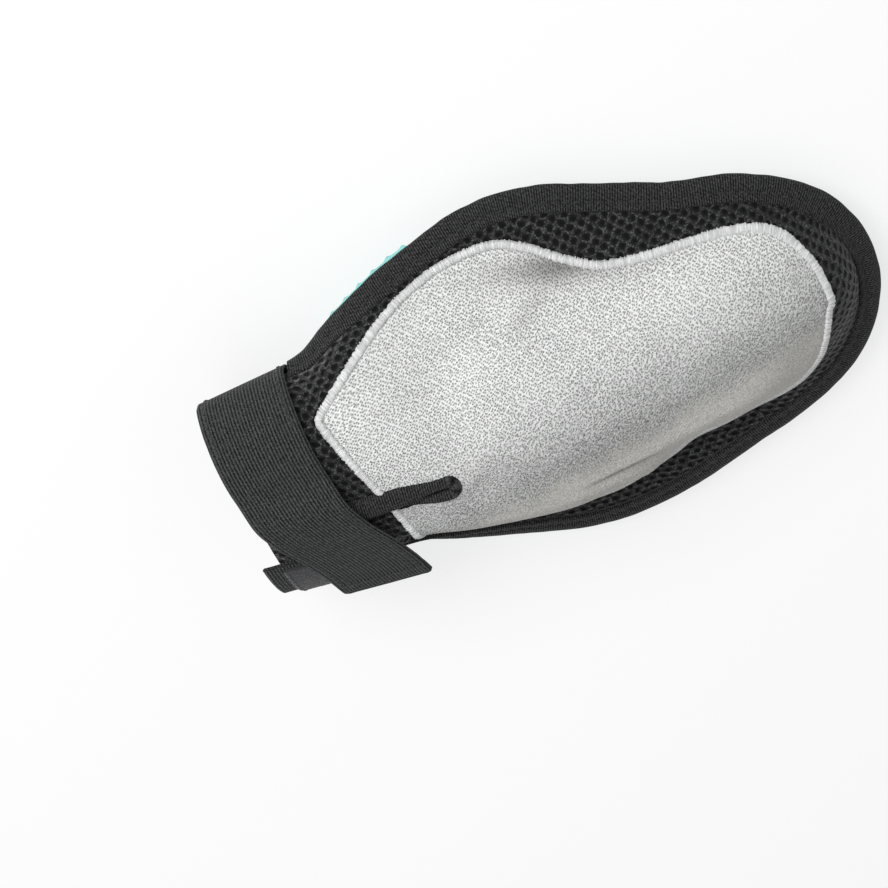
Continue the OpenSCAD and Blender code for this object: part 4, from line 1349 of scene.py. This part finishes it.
class GLOVE_OT_stage(bpy.types.Operator):
    """Makes the floor, the soft lights, the plain world and the camera."""

    bl_idname = "glove.stage"
    bl_label = "Floor, lights and camera"

    def execute(self, context):
        self.floor()
        self.world()
        self.light("Key", (-0.3, 0.85, 0.9), 0.7, 12.0)
        self.light("Fill", (-0.9, -0.3, 0.8), 1.2, 2.5)
        self.camera()
        bpy.context.scene.view_settings.view_transform = "Standard"
        return {"FINISHED"}

    def floor(self):
        """A pale floor just under the nub tips, lit up where it is seen so that it stays nearly white."""
        bm = bmesh.new()
        bmesh.ops.create_grid(bm, x_segments=1, y_segments=1, size=6)
        bmesh.ops.translate(bm, verts=bm.verts, vec=(0, 0, -0.00015))
        m = bpy.data.materials.new("Pale floor")
        m.use_nodes = True
        tree = m.node_tree
        shader, glow = tree.nodes["Principled BSDF"], tree.nodes.new("ShaderNodeEmission")
        shader.inputs["Base Color"].default_value = (*colours().floor, 1)
        shader.inputs["Roughness"].default_value = 0.95
        shader.inputs["Specular IOR Level"].default_value = 0.0
        seen = tree.nodes.new("ShaderNodeLightPath").outputs
        rays = Value(tree, seen["Is Camera Ray"])
        for label in ("Is Glossy Ray", "Is Transmission Ray"):
            rays = rays.maths("MAXIMUM", Value(tree, seen[label]))
        lit, bright = Value(tree, shader.outputs[0]), Value(tree, glow.outputs[0])
        mix = node(tree, "MixShader", rays * 0.7, lit, bright)
        feed(tree, tree.nodes["Material Output"].inputs["Surface"], mix)
        finish_mesh(bm, "floor", m, False)

    def world(self):
        """White where the camera sees it, half as strong as a light."""
        w = bpy.data.worlds.new("Soft room")
        bpy.context.scene.world = w
        w.use_nodes = True
        tree = w.node_tree
        back = tree.nodes["Background"].inputs
        seen = node(tree, "LightPath", out="Is Camera Ray")
        feed(tree, back["Strength"], seen.ranged(0, 1, 0.5, 1.0))
        back["Color"].default_value = (1, 1, 1, 1)

    def light(self, name, place, size, power):
        """A square lamp that points at the middle of the glove."""
        lamp = bpy.data.lights.new(name, "AREA")
        lamp.energy, lamp.size = power, size
        obj = bpy.data.objects.new(name, lamp)
        obj.location = place
        obj.rotation_mode = "QUATERNION"
        obj.rotation_quaternion = (Vector(place) - Vector((0.04, 0, 0.02))).to_track_quat("Z", "Y")
        bpy.context.scene.collection.objects.link(obj)

    def camera(self):
        """The camera of the photo: tilted, leaning and rolled, at so many pixels per mm."""
        tilt, lean, roll, far = math.radians(30), math.radians(8), math.radians(20), 0.9
        per_mm, picture, sensor = 2.65, 888, 36.0
        aim = Vector((0, -0.010, 0.020))
        d = Vector((math.sin(lean), math.cos(lean) * math.sin(tilt), math.cos(lean) * math.cos(tilt)))
        right = (Vector((1, 0, 0)) - d * d.x).normalized()
        up = d.cross(right)
        r = right * math.cos(roll) - up * math.sin(roll)
        u = up * math.cos(roll) + right * math.sin(roll)
        cam = bpy.data.cameras.new("Camera")
        cam.sensor_width, cam.lens = sensor, sensor * per_mm * far * 1000 / picture
        obj = bpy.data.objects.new("Camera", cam)
        m = Matrix((r, u, d)).transposed().to_4x4()
        m.translation = aim + d * far
        obj.matrix_world = m
        bpy.context.scene.collection.objects.link(obj)
        bpy.context.scene.camera = obj


class GLOVE_PT_panel(bpy.types.Panel):
    """Lists the steps that make the glove."""

    bl_idname = "GLOVE_PT_panel"
    bl_label = "Grooming glove"
    bl_space_type = "VIEW_3D"
    bl_region_type = "UI"
    bl_category = "Glove"

    def draw(self, context):
        for step in STEPS:
            self.layout.operator(step.bl_idname)


STEPS = (GLOVE_OT_front, GLOVE_OT_velour, GLOVE_OT_pad, GLOVE_OT_bindings, GLOVE_OT_strap, GLOVE_OT_stage)
CLASSES = (GloveSizes, GloveColours, *STEPS, GLOVE_PT_panel)


def register():
    for c in CLASSES:
        bpy.utils.register_class(c)
    bpy.types.Scene.glove_sizes = PointerProperty(type=GloveSizes)
    bpy.types.Scene.glove_colours = PointerProperty(type=GloveColours)


def unregister():
    del bpy.types.Scene.glove_colours
    del bpy.types.Scene.glove_sizes
    for c in reversed(CLASSES):
        bpy.utils.unregister_class(c)


def main():
    """Makes every piece in order."""
    register()
    for name in ("front", "velour", "pad", "bindings", "strap", "stage"):
        getattr(bpy.ops.glove, name)()


if __name__ == "__main__":
    main()
